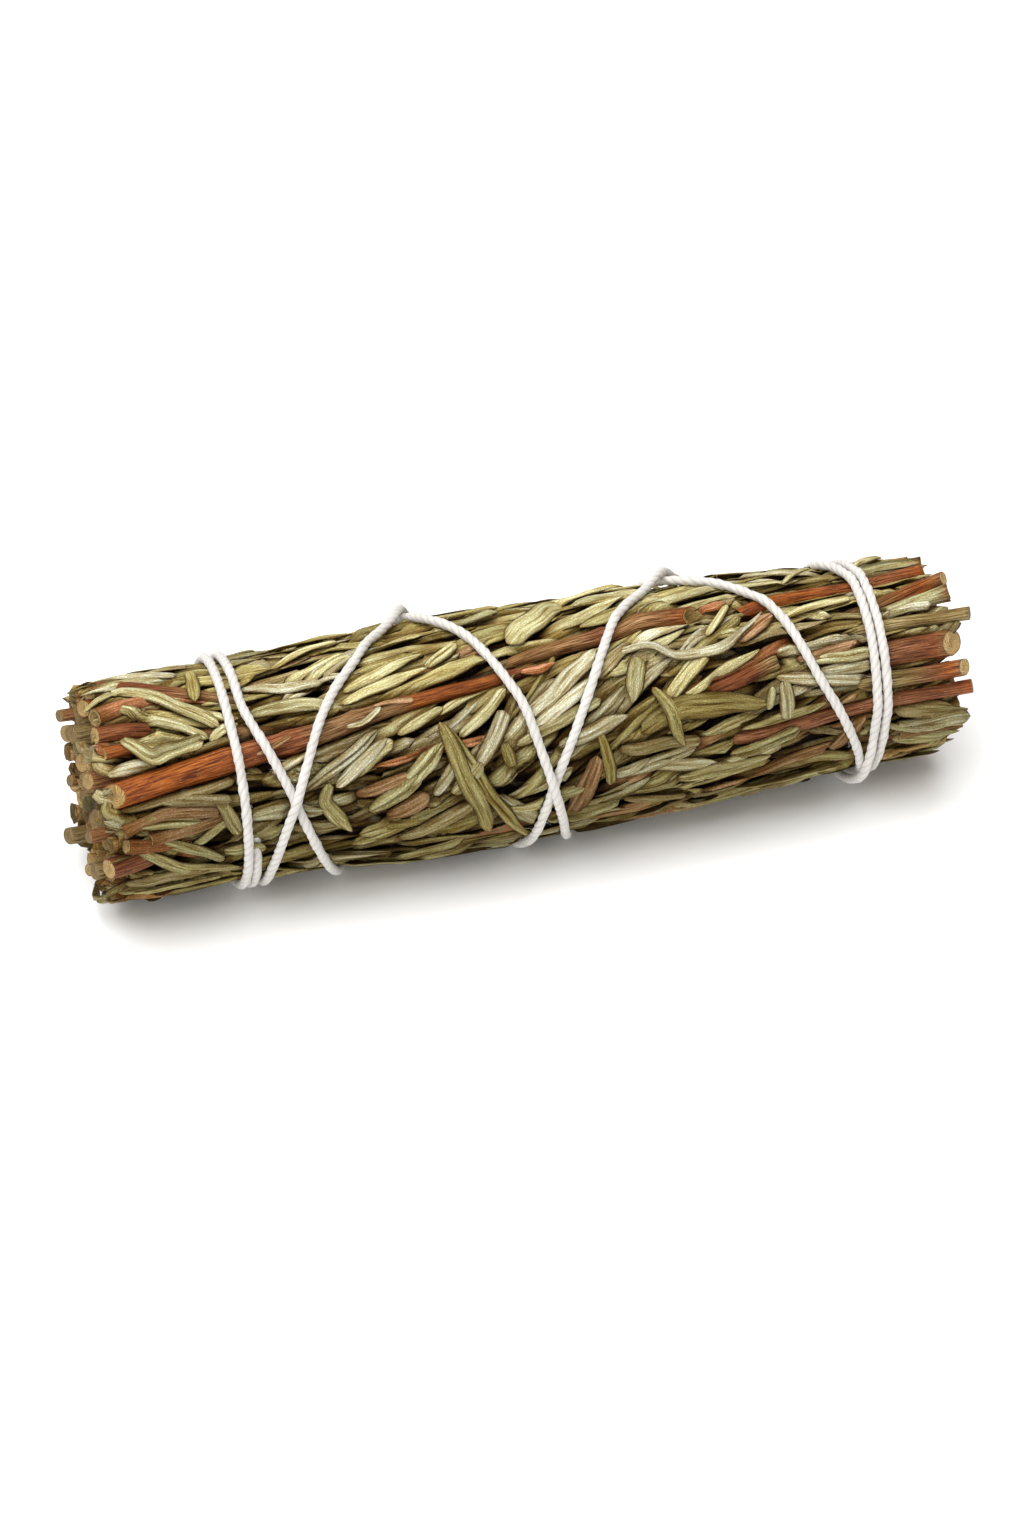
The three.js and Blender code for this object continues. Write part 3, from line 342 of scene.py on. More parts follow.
def smooth_step(low, high, value):
    """Rises softly from 0 at low to 1 at high."""
    share = np.clip((value - low) / (high - low), 0, 1)
    return share * share * (3 - 2 * share)


def hump(value, width):
    """1 at zero, falling off softly to both sides."""
    return np.exp(-((value / width) ** 2))


def with_ends(points):
    """The points with one more before and after them, straight on."""
    points = np.asarray(points, float)
    return np.vstack([2 * points[0] - points[1], points, 2 * points[-1] - points[-2]])


def curve(p, q, r, s, t):
    """Points at shares t of the way from q to r, on a smooth curve through p, q, r and s."""
    cubic = (3 * q - p - 3 * r + s) * t**3
    return 0.5 * (2 * q + (r - p) * t + (2 * p - 5 * q + 4 * r - s) * t**2 + cubic)


def smooth_path(points, count):
    """That many evenly spaced points on a smooth curve through the given ones."""
    ends = with_ends(points)
    share = np.linspace(0, 1, 12, endpoint=False)[:, None]
    fine = [curve(*four, share) for four in zip(ends, ends[1:], ends[2:], ends[3:])]
    return evenly(np.vstack([*fine, ends[-2:-1]]), count)


def evenly(points, count):
    """That many points at even steps along a line."""
    steps = np.linalg.norm(np.diff(points[:, :3], axis=0), axis=1)
    along = np.concatenate([[0], np.cumsum(steps)])
    wanted = np.linspace(0, along[-1], count)
    return np.stack([np.interp(wanted, along, column) for column in points.T], axis=1)


def wobble(rng, u, v, waves, reach_u, reach_v):
    """Soft unevenness between about -1 and 1: a few crossing waves with random phases."""
    total = np.zeros(np.broadcast(u, v).shape)
    for _ in range(waves):
        turn = rng.uniform(0, 2 * math.pi)
        total = total + np.sin(u * rng.uniform(-reach_u, reach_u) + v * rng.uniform(-reach_v, reach_v) + turn)
    return total / math.sqrt(waves)


def waver(rng, along, waves, reach):
    """The same along a line."""
    return wobble(rng, along, 0 * along, waves, reach, 0)


class Pile:
    """Closed meshes gathered into one object, with a colour and a place along the grain at every corner."""

    def __init__(self):
        self.points, self.tones, self.grains = [], [], []
        self.quads, self.triangles = [], []
        self.count = 0

    def add(self, rings, tones, grains, middles=None, end_tones=None, end_grains=(0, 0), turned=False):
        """Rings of points, closed at both ends on middle points; turned if the rings run backwards."""
        middles = ring_middles(rings) if middles is None else middles
        end_tones = ring_middles(tones) if end_tones is None else end_tones
        quads, fans = grid_faces(*rings.shape[:2])
        order = slice(None, None, -1 if turned else 1)
        self.points.append(np.vstack([rings.reshape(-1, 3), middles]))
        self.tones.append(np.vstack([tones.reshape(-1, 3), np.broadcast_to(end_tones, (2, 3))]))
        self.grains.append(np.vstack([grains.reshape(-1, 2), np.broadcast_to(end_grains, (2, 2))]))
        self.quads.append(quads[:, order] + self.count)
        self.triangles.append(fans[:, order] + self.count)
        self.count += len(self.points[-1])

    def make(self, name, material):
        mesh = bpy.data.meshes.new(name)
        faces = np.vstack(self.quads).tolist() + np.vstack(self.triangles).tolist()
        mesh.from_pydata((np.vstack(self.points) * MM).tolist(), [], faces)
        mesh.shade_smooth()
        tone = mesh.attributes.new("tone", "FLOAT_COLOR", "POINT")
        tones = np.ones((self.count, 4), np.float32)
        tones[:, :3] = np.clip(np.vstack(self.tones), 0, 1)
        tone.data.foreach_set("color", tones.ravel())
        corners = np.zeros(len(mesh.loops), np.int32)
        mesh.loops.foreach_get("vertex_index", corners)
        grain = mesh.uv_layers.new(name="grain")
        grain.data.foreach_set("uv", np.vstack(self.grains)[corners].astype(np.float32).ravel())
        mesh.materials.append(material)
        piece = bpy.data.objects.new(name, mesh)
        bpy.context.scene.collection.objects.link(piece)
        return piece


def ring_middles(rings):
    """Mean of the first ring and of the last one."""
    return np.array([rings[0].mean(axis=0), rings[-1].mean(axis=0)])


def grid_faces(rings, sides):
    """Quads between rings of points, and fans that close both ends on two last points."""
    ring, side = np.meshgrid(np.arange(rings - 1), np.arange(sides), indexing="ij")
    after = (side + 1) % sides
    start = ring * sides
    corners = (start + side, start + after, start + sides + after, start + sides + side)
    quads = np.stack([corner.ravel() for corner in corners], axis=1)
    turn = np.arange(sides)
    following = (turn + 1) % sides
    last = (rings - 1) * sides
    first_fan = np.stack([following, turn, np.full(sides, rings * sides)], axis=1)
    last_fan = np.stack([turn + last, following + last, np.full(sides, rings * sides + 1)], axis=1)
    return quads, np.vstack([first_fan, last_fan])


# Maps of the surface: what presses the leaves down, and what carries those that lie over a stem

MAP_STEP_X = 0.4
MAP_LEFT = -80
MAP_COUNT_X = 401
FREE = 9.0  # height above the leaf tops where nothing presses


class SurfaceMap:
    """A number for every place on the surface, at every degree round it."""

    def __init__(self, start):
        self.values = np.full((MAP_COUNT_X, 360), float(start))
        self.x = MAP_LEFT + MAP_STEP_X * np.arange(MAP_COUNT_X)

    def draw(self, x, degrees, reach, value, pick):
        """Writes value(distance) round a place, kept where pick says that it wins."""
        columns = slice(*np.searchsorted(self.x, [x - reach, x + reach]))
        spread = math.ceil(reach / (DEGREE * MEAN_RADIUS))
        rows = np.arange(math.floor(degrees) - spread, math.floor(degrees) + spread + 2)
        across = (rows - degrees) * DEGREE * MEAN_RADIUS
        distance = np.hypot(self.x[columns, None] - x, across[None, :])
        held = self.values[columns][:, rows % 360]
        new = np.where(distance <= reach, value(distance), held)
        block = self.values[columns]
        block[:, rows % 360] = pick(held, new)

    def read(self, x, degrees):
        column = np.clip((x - MAP_LEFT) / MAP_STEP_X, 0, MAP_COUNT_X - 1.001)
        row = np.mod(degrees, 360)
        i, j = column.astype(int), row.astype(int) % 360
        a, b = column - i, row - np.floor(row)
        k = (j + 1) % 360
        near = self.values[i, j] * (1 - b) + self.values[i, k] * b
        far = self.values[i + 1, j] * (1 - b) + self.values[i + 1, k] * b
        return near * (1 - a) + far * a


def sprig_stations(sprig):
    """The main stem of an outer sprig, whose cut ends are read from its solid."""
    low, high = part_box(f"sprig_{sprig + 1:02d}_stem")
    left_x, right_x = low.x / MM + 0.4, high.x / MM - 0.4
    thick_left = sprig % 2 == 0

    def station(x, radius, orbit):
        return [x, sprig_middle(sprig, x), radius, orbit + radius - float(surface_radius(x))]

    left = station(left_x, 1.4 if thick_left else 1.0, STEM_DEPTH_RADIUS + 1.2)
    middle = [station(x, 1.2, STEM_DEPTH_RADIUS) for x in (-50, -8)]
    shown = SHOWING_STEMS.get(sprig + 1)
    if shown:
        return [left, *middle, *shown]
    right = station(right_x, 1.0 if thick_left else 1.4, STEM_DEPTH_RADIUS + 0.6)
    inner = [station(32, 1.15, STEM_DEPTH_RADIUS), station(58, 1.15, STEM_DEPTH_RADIUS - 0.2)]
    return [left, *middle, *inner, right]


def along_frames(points):
    """Unit vectors along a line and two across it that don't twist."""
    along = np.gradient(points, axis=0)
    along /= np.linalg.norm(along, axis=1)[:, None]
    side = np.array([0.0, 0.3, 1.0])
    sides = []
    for direction in along:
        side = side - direction * side.dot(direction)
        side = side / np.linalg.norm(side)
        sides.append(side)
    sides = np.array(sides)
    return along, sides, np.cross(along, sides)


NEAR_SIDE = np.array([0, -0.8, 0.6])  # the stems were cut at a slant that faces this way
SLANT_REACH = 3.0  # how far the slant is felt along the bark, in radii
CUT_RINGS = [0.97, 0.86, 0.62, 0.4, 0.2]  # radii of the rings on a cut end, as shares of the stem's
KNOT_LENGTH = 1.1  # half of a knot's length along the stem


def full_turn(sides):
    """The angles of a ring's points, once round."""
    return 2 * math.pi * np.arange(sides) / sides


def spokes(up, across, turn):
    """Unit vectors round a line at the given angles, a ring of them for each of its points."""
    return up[:, None, :] * np.cos(turn)[None, :, None] + across[:, None, :] * np.sin(turn)[None, :, None]


def bark_stem(
    pile, line, radii, rng, colours, ring_step=0.5, sides=24, knots=(), hollow=0.0, wood=PALE_WOOD,
    slant=(0.4, 0.6), uneven=1.0,
):
    """A twig with bark ridges and two cut ends. colours are (x, colour) stops, knots (x, turn, size)."""
    length = np.linalg.norm(np.diff(line, axis=0), axis=1).sum()
    count = max(8, int(length / ring_step))
    stations = evenly(np.column_stack([line, radii]), count)
    points, radius = stations[:, :3], stations[:, 3]
    away = np.linspace(0, length, count)
    along, up, across = along_frames(points)
    turn = full_turn(sides)
    ridges = wobble(rng, turn[None, :] * 3, away[:, None] * 0.12, 5, 3, 1)
    lumps = wobble(rng, turn[None, :], away[:, None], 4, 1, 0.7)
    swell = 1 + uneven * (0.035 * ridges + 0.03 * lumps)
    for knot_x, knot_turn, size in knots:
        nearness = hump(points[:, 0] - knot_x, KNOT_LENGTH)[:, None]
        facing = 0.35 + 0.65 * np.exp(2.5 * (np.cos(turn - knot_turn) - 1))[None, :]
        swell = swell + size * nearness * facing
    reach = radius[:, None] * swell
    radial = spokes(up, across, turn)
    body = points[:, None, :] + radial * reach[:, :, None]
    tilts = []
    for end, inward, distance in ((0, 1, away), (-1, -1, length - away)):
        facing = radial[end] @ NEAR_SIDE
        tilt = rng.uniform(*slant) * facing + rng.uniform(0, 0.12) * np.cos(turn - rng.uniform(0, 6))
        tilts.append(tilt)
        fade = np.clip(1 - distance / (SLANT_REACH * radius[end]), 0, 1)
        body = body + inward * along[:, None, :] * (fade[:, None] * (tilt * radius[end])[None, :])[:, :, None]

    stops = np.array([stop[0] for stop in colours])
    shades = np.array([stop[1] for stop in colours])
    base = np.stack([np.interp(points[:, 0], stops, shade) for shade in shades.T], axis=1)
    streaks = wobble(rng, turn[None, :] * 2, away[:, None] * 0.25, 6, 3, 1)
    patches = wobble(rng, turn[None, :], away[:, None], 5, 1.5, 0.5)
    shade = 1 + 0.17 * streaks + 0.15 * patches
    tone = base[:, None, :] * np.maximum(shade, 0.2)[:, :, None] ** DARK_WARMTH
    grain = np.stack(np.broadcast_arrays(turn[None, :] * radius.mean(), away[:, None]), axis=-1)

    def cut_rings(end, outward):
        """Rings of a cut face from its rim to its middle."""
        tilt = -tilts[end]
        rough = rng.uniform(-0.05, 0.05, (len(CUT_RINGS), sides))
        rings, shades_of, marks = [], [], []
        for i, share in enumerate(CUT_RINGS):
            sunk = hollow * (1 - smooth_step(0.3, 0.75, share))
            rise = (tilt * share + rough[i] * 0.8 - sunk) * radius[end]
            ring = points[end] + radial[end] * (reach[end] * share)[:, None]
            ring = ring + along[end] * outward * rise[:, None]
            colour = tone[end] * 0.8 if i == 0 else wood * (1.0 if share > 0.3 else 0.85)
            colour = np.broadcast_to(colour, (sides, 3)) * (1 + 0.12 * rng.standard_normal((sides, 1)))
            rings.append(ring)
            # Painted shade: a hollow cut face is painted darker towards its sunk middle
            shades_of.append(colour * (1 - 0.75 * hollow * (1 - share)))
            marks.append(np.stack(np.broadcast_arrays(turn * share * radius[end], 0.3 * share), axis=-1))
        return rings, shades_of, marks

    first, first_shades, first_marks = cut_rings(0, -1)
    last, last_shades, last_marks = cut_rings(-1, 1)
    rings = np.array([*first[::-1], *body, *last])
    tones = np.array([*first_shades[::-1], *tone, *last_shades])
    grains = np.array([*first_marks[::-1], *grain, *last_marks])
    # The middle point is darker, and painted darker still as shade where the face is hollow
    pile.add(rings, tones, grains, end_tones=wood * (0.7 - 0.5 * hollow))


def stem_line(stations):
    """Middle line and radii of a stem given by its stations."""
    x, degrees, radius, proud = smooth_path(stations, 60).T
    return place(x, degrees, surface_radius(x) - radius + proud), radius


def route_points(route, places):
    """x, degrees and lift of the string, where a place counts the route's rows from 0."""
    table = with_ends([(*row, 0)[:3] for row in route])
    i = np.minimum(np.floor(places).astype(int), len(route) - 2)
    return curve(table[i], table[i + 1], table[i + 2], table[i + 3], (places - i)[:, None])


def rest_radius(x, degrees, stems):
    """Radius at which the string's middle rests on the leaves or on a stem."""
    radius = surface_radius(x) + STRING_LIFT
    for stations in stems:
        table = np.array(stations, float)
        stem_x, stem_degrees, stem_radii, proud = table.T
        stem_radius = np.interp(x, stem_x, stem_radii)
        orbit = surface_radius(x) - stem_radius + np.interp(x, stem_x, proud)
        across = away_from(degrees, np.interp(x, stem_x, stem_degrees)) * DEGREE * orbit
        reach = stem_radius + STRING_RADIUS + GAP
        over = (x >= stem_x[0]) & (x <= stem_x[-1]) & (np.abs(across) < reach)
        height = orbit + np.sqrt(np.maximum(reach**2 - across**2, 0))
        radius = np.where(over, np.maximum(radius, height), radius)
    return radius


ROUTE_FINENESS = 40  # points between two rows of the route
EASING = 7  # points over which the string eases from one support to the next


def string_line(route, stems, step):
    """The middle of the string, resting on leaves and stems, at even steps."""
    places = np.linspace(0, len(route) - 1, ROUTE_FINENESS * len(route))
    x, degrees, lift = route_points(route, places).T
    radius = np.zeros(len(places))
    for shift in (-0.12, -0.06, 0, 0.06, 0.12):
        near = np.clip(places + shift, 0, len(route) - 1)
        near_x, near_degrees, _ = route_points(route, near).T
        radius = np.maximum(radius, rest_radius(near_x, near_degrees, stems))
    kernel = np.hanning(2 * EASING + 1)
    padded = np.pad(radius, EASING, mode="edge")
    radius = np.convolve(padded, kernel / kernel.sum(), mode="valid")
    points = place(x, degrees, radius + lift)
    points[:, 2] = np.maximum(points[:, 2], STRING_LOWEST)
    length = np.linalg.norm(np.diff(points, axis=0), axis=1).sum()
    return evenly(points, int(length / step))


TWIST_PITCH = 5.0  # length of one full turn of the plies
PLIES = 3
STRING_SIDES = 21
STRING_STEP = 0.4
STRING_TONE = srgb(222, 219, 214)
# Painted shade: the string's colour in the grooves between its plies
STRING_GROOVE_SHADE = srgb(196, 189, 182)
PLUMP_RADIUS = 0.76  # soft cotton swells a little past the solid
KNOT_STRING_RADIUS = STRING_RADIUS * 0.95


def twisted(pile, points, rng, radius=PLUMP_RADIUS, taper=False):
    """A string of three plies twisted together."""
    length = STRING_STEP * (len(points) - 1)
    away = np.linspace(0, length, len(points))
    _, up, across = along_frames(points)
    turn = full_turn(STRING_SIDES)
    slow = waver(rng, away, 4, 0.5)
    ply = turn[None, :] - 2 * math.pi * away[:, None] / TWIST_PITCH - 0.5 * slow[:, None]
    lobe = np.abs(np.cos(PLIES * ply / 2)) ** 0.8
    plump = 1 + 0.05 * waver(rng, away, 5, 1.6)
    reach = radius * (0.85 + 0.2 * lobe) * plump[:, None] * (1 + 0.025 * rng.standard_normal(lobe.shape))
    if taper:
        reach = reach * (1 - 0.35 * smooth_step(length - 1.5, length, away))[:, None]
    body = points[:, None, :] + spokes(up, across, turn) * reach[:, :, None]
    # Painted shade in the grooves between the plies
    tone = STRING_GROOVE_SHADE + (STRING_TONE - STRING_GROOVE_SHADE) * smooth_step(0.1, 0.6, lobe)[:, :, None]
    grain = np.stack(np.broadcast_arrays(ply * radius, away[:, None]), axis=-1)
    pile.add(body, tone, grain, points[[0, -1]], STRING_TONE)


def knot_points(stems):
    """The middle line of the knot, a closed loop that crosses itself."""
    x, degrees = KNOT_PLACE
    rest = rest_radius(np.array([x]), np.array([degrees]), stems)[0]
    centre = place(x, degrees, rest + KNOT_LIFT)
    out = place(x, degrees, 1.0) - place(x, degrees, 0.0)
    along = np.array([1.0, 0, 0])
    around = np.cross(out, along)
    t = np.linspace(0, 2 * math.pi, 60)[:, None]
    return centre + KNOT_SIZE * (
        along * (np.sin(t) + 2 * np.sin(2 * t)) + around * (np.cos(t) - 2 * np.cos(2 * t))
        - out * 1.1 * np.sin(3 * t)
    )


FIBRES = 1800
FIBRE_THICKNESS = 0.02
FIBRE_RINGS = 6
FIBRE_SIDES = 3


def fuzz(pile, points, rng, count):
    """Loose cotton fibres on the string, except on the side that lies on the leaves."""
    _, up, across = along_frames(points)
    share = np.linspace(0, 1, FIBRE_RINGS)
    for _ in range(count):
        i = rng.integers(1, len(points) - 2)
        angle = rng.uniform(0, 2 * math.pi)
        out = up[i] * math.cos(angle) + across[i] * math.sin(angle)
        level = points[i] - [points[i][0], 0, AXIS_HEIGHT]
        if out.dot(level) < -0.2 * np.linalg.norm(level):
            continue
        lean = rng.standard_normal(3) * 0.8
        length = rng.uniform(0.4, 1.1) if rng.uniform() < 0.8 else rng.uniform(1.1, 1.9)
        curl = rng.standard_normal(3) * 0.7
        path = points[i] + out * STRING_RADIUS * 0.9 + length * (
            share[:, None] * (out * 0.7 + lean * 0.5) + share[:, None] ** 2 * curl * 0.6
        )
        path[:, 2] = np.maximum(path[:, 2], 0.1)
        _, side, other = along_frames(path + 1e-6)
        thin = FIBRE_THICKNESS * (1.15 - share)
        body = path[:, None, :] + spokes(side, other, full_turn(FIBRE_SIDES)) * thin[:, None, None]
        tones = np.broadcast_to(STRING_TONE, body.shape)
        pile.add(body, tones, np.zeros((*body.shape[:2], 2)), path[[0, -1]], STRING_TONE)


# Where the points across a leaf lie, as shares of half its width, on its upper side and under it
TOP_SHARES = {
    "fine": np.array([-1, -0.86, -0.6, -0.3, 0, 0.3, 0.6, 0.86, 1]),
    "plain": np.array([-1, -0.72, -0.36, 0, 0.36, 0.72, 1]),
    "coarse": np.array([-1, -0.55, 0, 0.55, 1]),
}
UNDER_SHARES = {
    "fine": np.array([0.7, 0.25, -0.25, -0.7]),
    "plain": np.array([0.6, 0, -0.6]),
    "coarse": np.array([0.0]),
}
RINGS = {"fine": 26, "plain": 16, "coarse": 9}


def section_height(style, share, depth):
    """Height of a leaf's upper side across it, as a share of half its width."""
    crown = 1 - np.abs(share) ** 3.5
    if style == "crown":
        return 0.8 * depth * crown
    if style == "twin":
        return depth * (0.8 * crown - 0.7 * hump(share, 0.17))
    if style == "trough":
        return depth * (np.abs(share) ** 1.3 - 0.2 * smooth_step(0.8, 1, np.abs(share)))
    if style == "fold":
        return depth * np.interp(share, [-1, 0.2, 1], [-0.2, 0.95, 0.25])
    return 0.3 * depth * (crown - 0.7 * hump(share, 0.16))


ACROSS_SCALE = -DEGREE * MEAN_RADIUS  # millimetres round the surface for each degree, upwards
LEAF_SWELL = [0.42, 0.72, 0.92, 1.0, 0.82]  # a leaf's width from root to tip, at the places below
LEAF_SWELL_PLACES = [0, 0.12, 0.3, 0.6, 1]
TIP_LENGTHS = {"round": 0.12, "blunt": 0.05, "point": 0.34}  # as shares of the leaf's length
DARK_DEPTH, BRIGHT_DEPTH = -1.85, -0.15  # heights between which the painted shade of leaves goes from dark to bright: deeper leaves are painted darker
OPEN_START, OPEN_END = -0.3, 3.6  # how far past the core the painted light reaches in from the bundle's end


def leaf(
    pile, path, width, tone, style, rng, heights, detail="plain", roll=0.0, twist=0.0, depth=0.5, tip="round",
    over=False, thickness=0.32, curl=0.0, marked=False,
):
    """One leaf along a path of (x, degrees), at the given heights over the leaf tops' surface.

    The string presses it down. So do stems unless it lies over them, and marked leaves unless it is one.
    """
    rings = RINGS[detail]
    flat = np.array([(x, degrees * ACROSS_SCALE) for x, degrees in path], float)
    centre = smooth_path(flat, rings)
    length = np.linalg.norm(np.diff(centre, axis=0), axis=1).sum()
    along = np.gradient(centre, axis=0)
    along /= np.linalg.norm(along, axis=1)[:, None]
    side = np.stack([-along[:, 1], along[:, 0]], axis=1)
    t = np.linspace(0, 1, rings)
    swell = np.interp(t, LEAF_SWELL_PLACES, LEAF_SWELL)
    ends = np.sqrt(np.clip(np.minimum(t / 0.04, (1 - t) / TIP_LENGTHS[tip]), 0.02, 1))
    away = t * length
    half = 0.5 * width * swell * ends * (1 + 0.07 * waver(rng, away, 3, 1.2))
    sway = 0.08 * min(width, 2.0) * waver(rng, away, 3, 0.8)
    centre = centre + side * sway[:, None]

    top, under = TOP_SHARES[detail], UNDER_SHARES[detail]
    share = np.concatenate([top, under])
    is_under = np.concatenate([np.zeros(len(top)), np.ones(len(under))])
    depth_along = depth * (1 + 0.3 * waver(rng, away, 3, 0.6))
    shape = np.stack([section_height(style, share, d) for d in depth_along])
    creases = 0.1 * wobble(rng, share[None, :] * 6, away[:, None] * 0.4, 4, 1.2, 1.2)
    upper = (shape + creases) * half[:, None]
    blade = thickness * np.sqrt(np.maximum(1 - share**2, 0.12))[None, :] * ends[:, None]
    lower = upper - blade * is_under[None, :]
    angle = roll + twist * (t - 0.5) + 0.12 * waver(rng, away, 2, 0.5)
    cos, sin = np.cos(angle)[:, None], np.sin(angle)[:, None]
    flat_across = share[None, :] * half[:, None]
    a = flat_across * cos - lower * sin
    own = flat_across * sin + lower * cos
    own_top = flat_across * sin + upper * cos

    level = np.interp(t, [0, 0.25, 0.75, 1], heights) + curl * t**4
    spread = MEAN_RADIUS / np.maximum(MEAN_RADIUS + level, 2.5)
    plane = centre[:, None, :] + side[:, None, :] * (a * spread[:, None])[:, :, None]
    x, degrees = plane[..., 0], plane[..., 1] / ACROSS_SCALE
    top_height = level[:, None] + own_top
    limit = pressed_map.read(x, degrees)
    if not over:
        limit = np.minimum(limit, beside_map.read(x, degrees))
    if not marked:
        limit = np.minimum(limit, marked_map.read(x, degrees))
    floor = floor_limit(x, degrees)
    limit = np.minimum(limit, floor) - rng.uniform(0, 0.35)
    excess = top_height - limit
    press = 0.5 * (excess + np.sqrt(excess**2 + 0.02))
    height = level[:, None] + own - press
    if over:
        height = np.maximum(height, carry_map.read(x, degrees) + 0.25 - (own_top - own))
    height = np.minimum(height, floor + 0.3)
    radius = surface_radius(x) + height
    points = place(x, degrees, radius)

    # Painted shade: the margins of every leaf fade to a dark tone, as the shade in the gaps between leaves
    edge = smooth_step(0.75, 1.0, np.abs(share))[None, :, None]
    colour = np.broadcast_to(tone, (rings, len(share), 3)).copy()
    colour = colour * (1 - 0.7 * edge) + LEAF_EDGE_SHADE * 0.7 * edge
    # Painted shade: darker down the middle fold of a leaf and towards its sides
    middle_shade = (0.3 if style in ("twin", "trough") else 0.14) * hump(share, 0.14)
    across_shade = (1 - 0.62 * np.abs(share) ** 4) * (1 - middle_shade)
    brown_end = rng.uniform(0.15, 0.75)
    end_share = np.maximum(1 - t / 0.07, 1 - (1 - t) / 0.05).clip(0, 1)[:, None, None] * brown_end
    colour = colour * (1 - end_share) + TIP_TONE * end_share
    colour = colour * (1 + 0.09 * wobble(rng, share[None, :] * 2, away[:, None], 4, 1, 0.5))[:, :, None]
    # Painted shade and light: leaves lying deeper are painted darker, those at the open ends lighter, and
    # undersides darker
    shade = 0.02 + 1.04 * smooth_step(DARK_DEPTH, BRIGHT_DEPTH, height)
    beyond = np.maximum(CORE_LEFT + 2 - x, x - CORE_RIGHT + 1)
    open_end = smooth_step(OPEN_START, OPEN_END, beyond)
    shade = np.maximum(shade, 0.95 * open_end) * (1 - 0.55 * is_under[None, :] * (1 - open_end))
    colour = colour * (shade * across_shade[None, :])[:, :, None] ** DARK_WARMTH
    start = rng.uniform(0, 400, 2)
    grain = np.stack(np.broadcast_arrays(flat_across + start[0], away[:, None] + start[1]), axis=-1)
    pile.add(points, colour, grain, end_grains=start, turned=True)


def floor_limit(x, degrees):
    """How high over the leaf tops' surface a leaf may lie before it would go through the ground."""
    down = -np.cos(np.asarray(degrees) * DEGREE)
    reach = (AXIS_HEIGHT - 0.25) / np.maximum(down, 0.2)
    return np.where(down > 0.3, reach - surface_radius(x), FREE)


def leaf_angle(x, degrees):
    """The way leaves lie, as an angle from +x towards the top, in degrees."""
    front = away_from(degrees, 60)
    middle = hump(x - 6, 30)
    climbing = 30 * middle * hump(front, 45) + 16 * middle * hump(away_from(degrees, 240), 60)
    falling = -14 * float(smooth_step(-44, -56, x)) * hump(front + 20, 50)
    return 6 + climbing + falling


TOP_PAINTED_LIGHT = np.array([0.74, 0.8, 1.2])  # painted light: how much brighter in red, green and blue the leaves on top are painted, as if lit from above


def side_light(degrees):
    """Factors for a leaf's colour: painted light that makes the leaves on top brighter and greyer than those
    on the near side.
    """
    return 0.94 + TOP_PAINTED_LIGHT * float(smooth_step(0.25, 1.0, math.cos((degrees - 5) * DEGREE)))


# How often each of the leaf tones comes, and how much more often on the near side and away from it
TONE_WEIGHTS = np.array([0.22, 0.24, 0.16, 0.12, 0.05, 0.07, 0.02, 0.12])
MORE_NEAR = [0, 0.1, 0.14, 0, 0, 0.02, 0.01, 0]
MORE_FAR = [0.1, 0.1, 0.1, 0.04, 0.02, 0, 0, 0]


def pick_tone(rng, degrees):
    """A leaf's colour: greyer in the middle of the near side, greener at the top and the bottom."""
    weights = TONE_WEIGHTS
    front = abs(away_from(degrees, 70))
    if front < 40:
        weights = weights + MORE_NEAR
    if front > 70:
        weights = weights + MORE_FAR
    name = rng.choice(list(LEAF_TONES), p=weights / weights.sum())
    return LEAF_TONES[name] * rng.uniform(0.85, 1.15) * side_light(degrees)


# How often each style of leaf comes
LEAF_STYLES = {"crown": 0.16, "twin": 0.26, "trough": 0.14, "flat": 0.18, "fold": 0.26}
LEAVES_LEFT, LEAVES_RIGHT = -71.0, 70.5  # where the first leaves end
SHORTEST_LEAF = 4


def lay_leaf(piles, x, degrees, length, width, rng, heights, detail, turn_spread):
    """A rule leaf whose middle is at a place, lying the way that leaves lie there."""
    angle = (leaf_angle(x, degrees) + rng.normal(0, turn_spread)) * DEGREE
    if rng.uniform() < 0.35:
        angle += math.pi
    reach = 0.5 * length * np.array([math.cos(angle), math.sin(angle)])
    bend = rng.normal(0, 0.045) * length
    sideways = np.array([-reach[1], reach[0]]) / np.linalg.norm(reach) * bend
    middle = np.array([x, degrees * ACROSS_SCALE])
    points = [middle - reach, middle + sideways, middle + reach]
    left, right = LEAVES_LEFT - 1.8 * rng.random(), LEAVES_RIGHT + 3.3 * rng.random()
    path = [(float(np.clip(p[0], left, right)), float(p[1] / ACROSS_SCALE)) for p in points]
    if abs(path[2][0] - path[0][0]) < SHORTEST_LEAF:
        return
    style = rng.choice(list(LEAF_STYLES), p=list(LEAF_STYLES.values()))
    leaf(
        piles[sprig_at(x, degrees)], path, width, pick_tone(rng, degrees), style, rng, heights, detail,
        roll=rng.normal(0, 0.3), twist=rng.normal(0, 0.45), depth=rng.uniform(0.35, 0.8),
        tip=rng.choice(list(TIP_LENGTHS), p=[0.45, 0.2, 0.35]), curl=rng.normal(0, 0.15),
    )


# Layers from the core outwards: lanes, lengths and widths of the leaves, the step to the next leaf as a share
# of the length, heights along a leaf, detail, spread of turn and of lift, and whether on the far side only
LAYERS = [
    (54, (15, 25), (2.6, 3.6), 0.6, [-3.6, -2.7, -2.4, -2.2], "coarse", 9, 0.22, False),
    (56, (12, 24), (1.7, 3.6), 0.62, [-2.6, -1.3, -0.95, -0.7], "plain", 9, 0.42, False),
    (15, (10, 18), (1.5, 2.6), 1.5, [-1.6, -0.7, -0.4, -0.1], "plain", 16, 0.22, True),
]


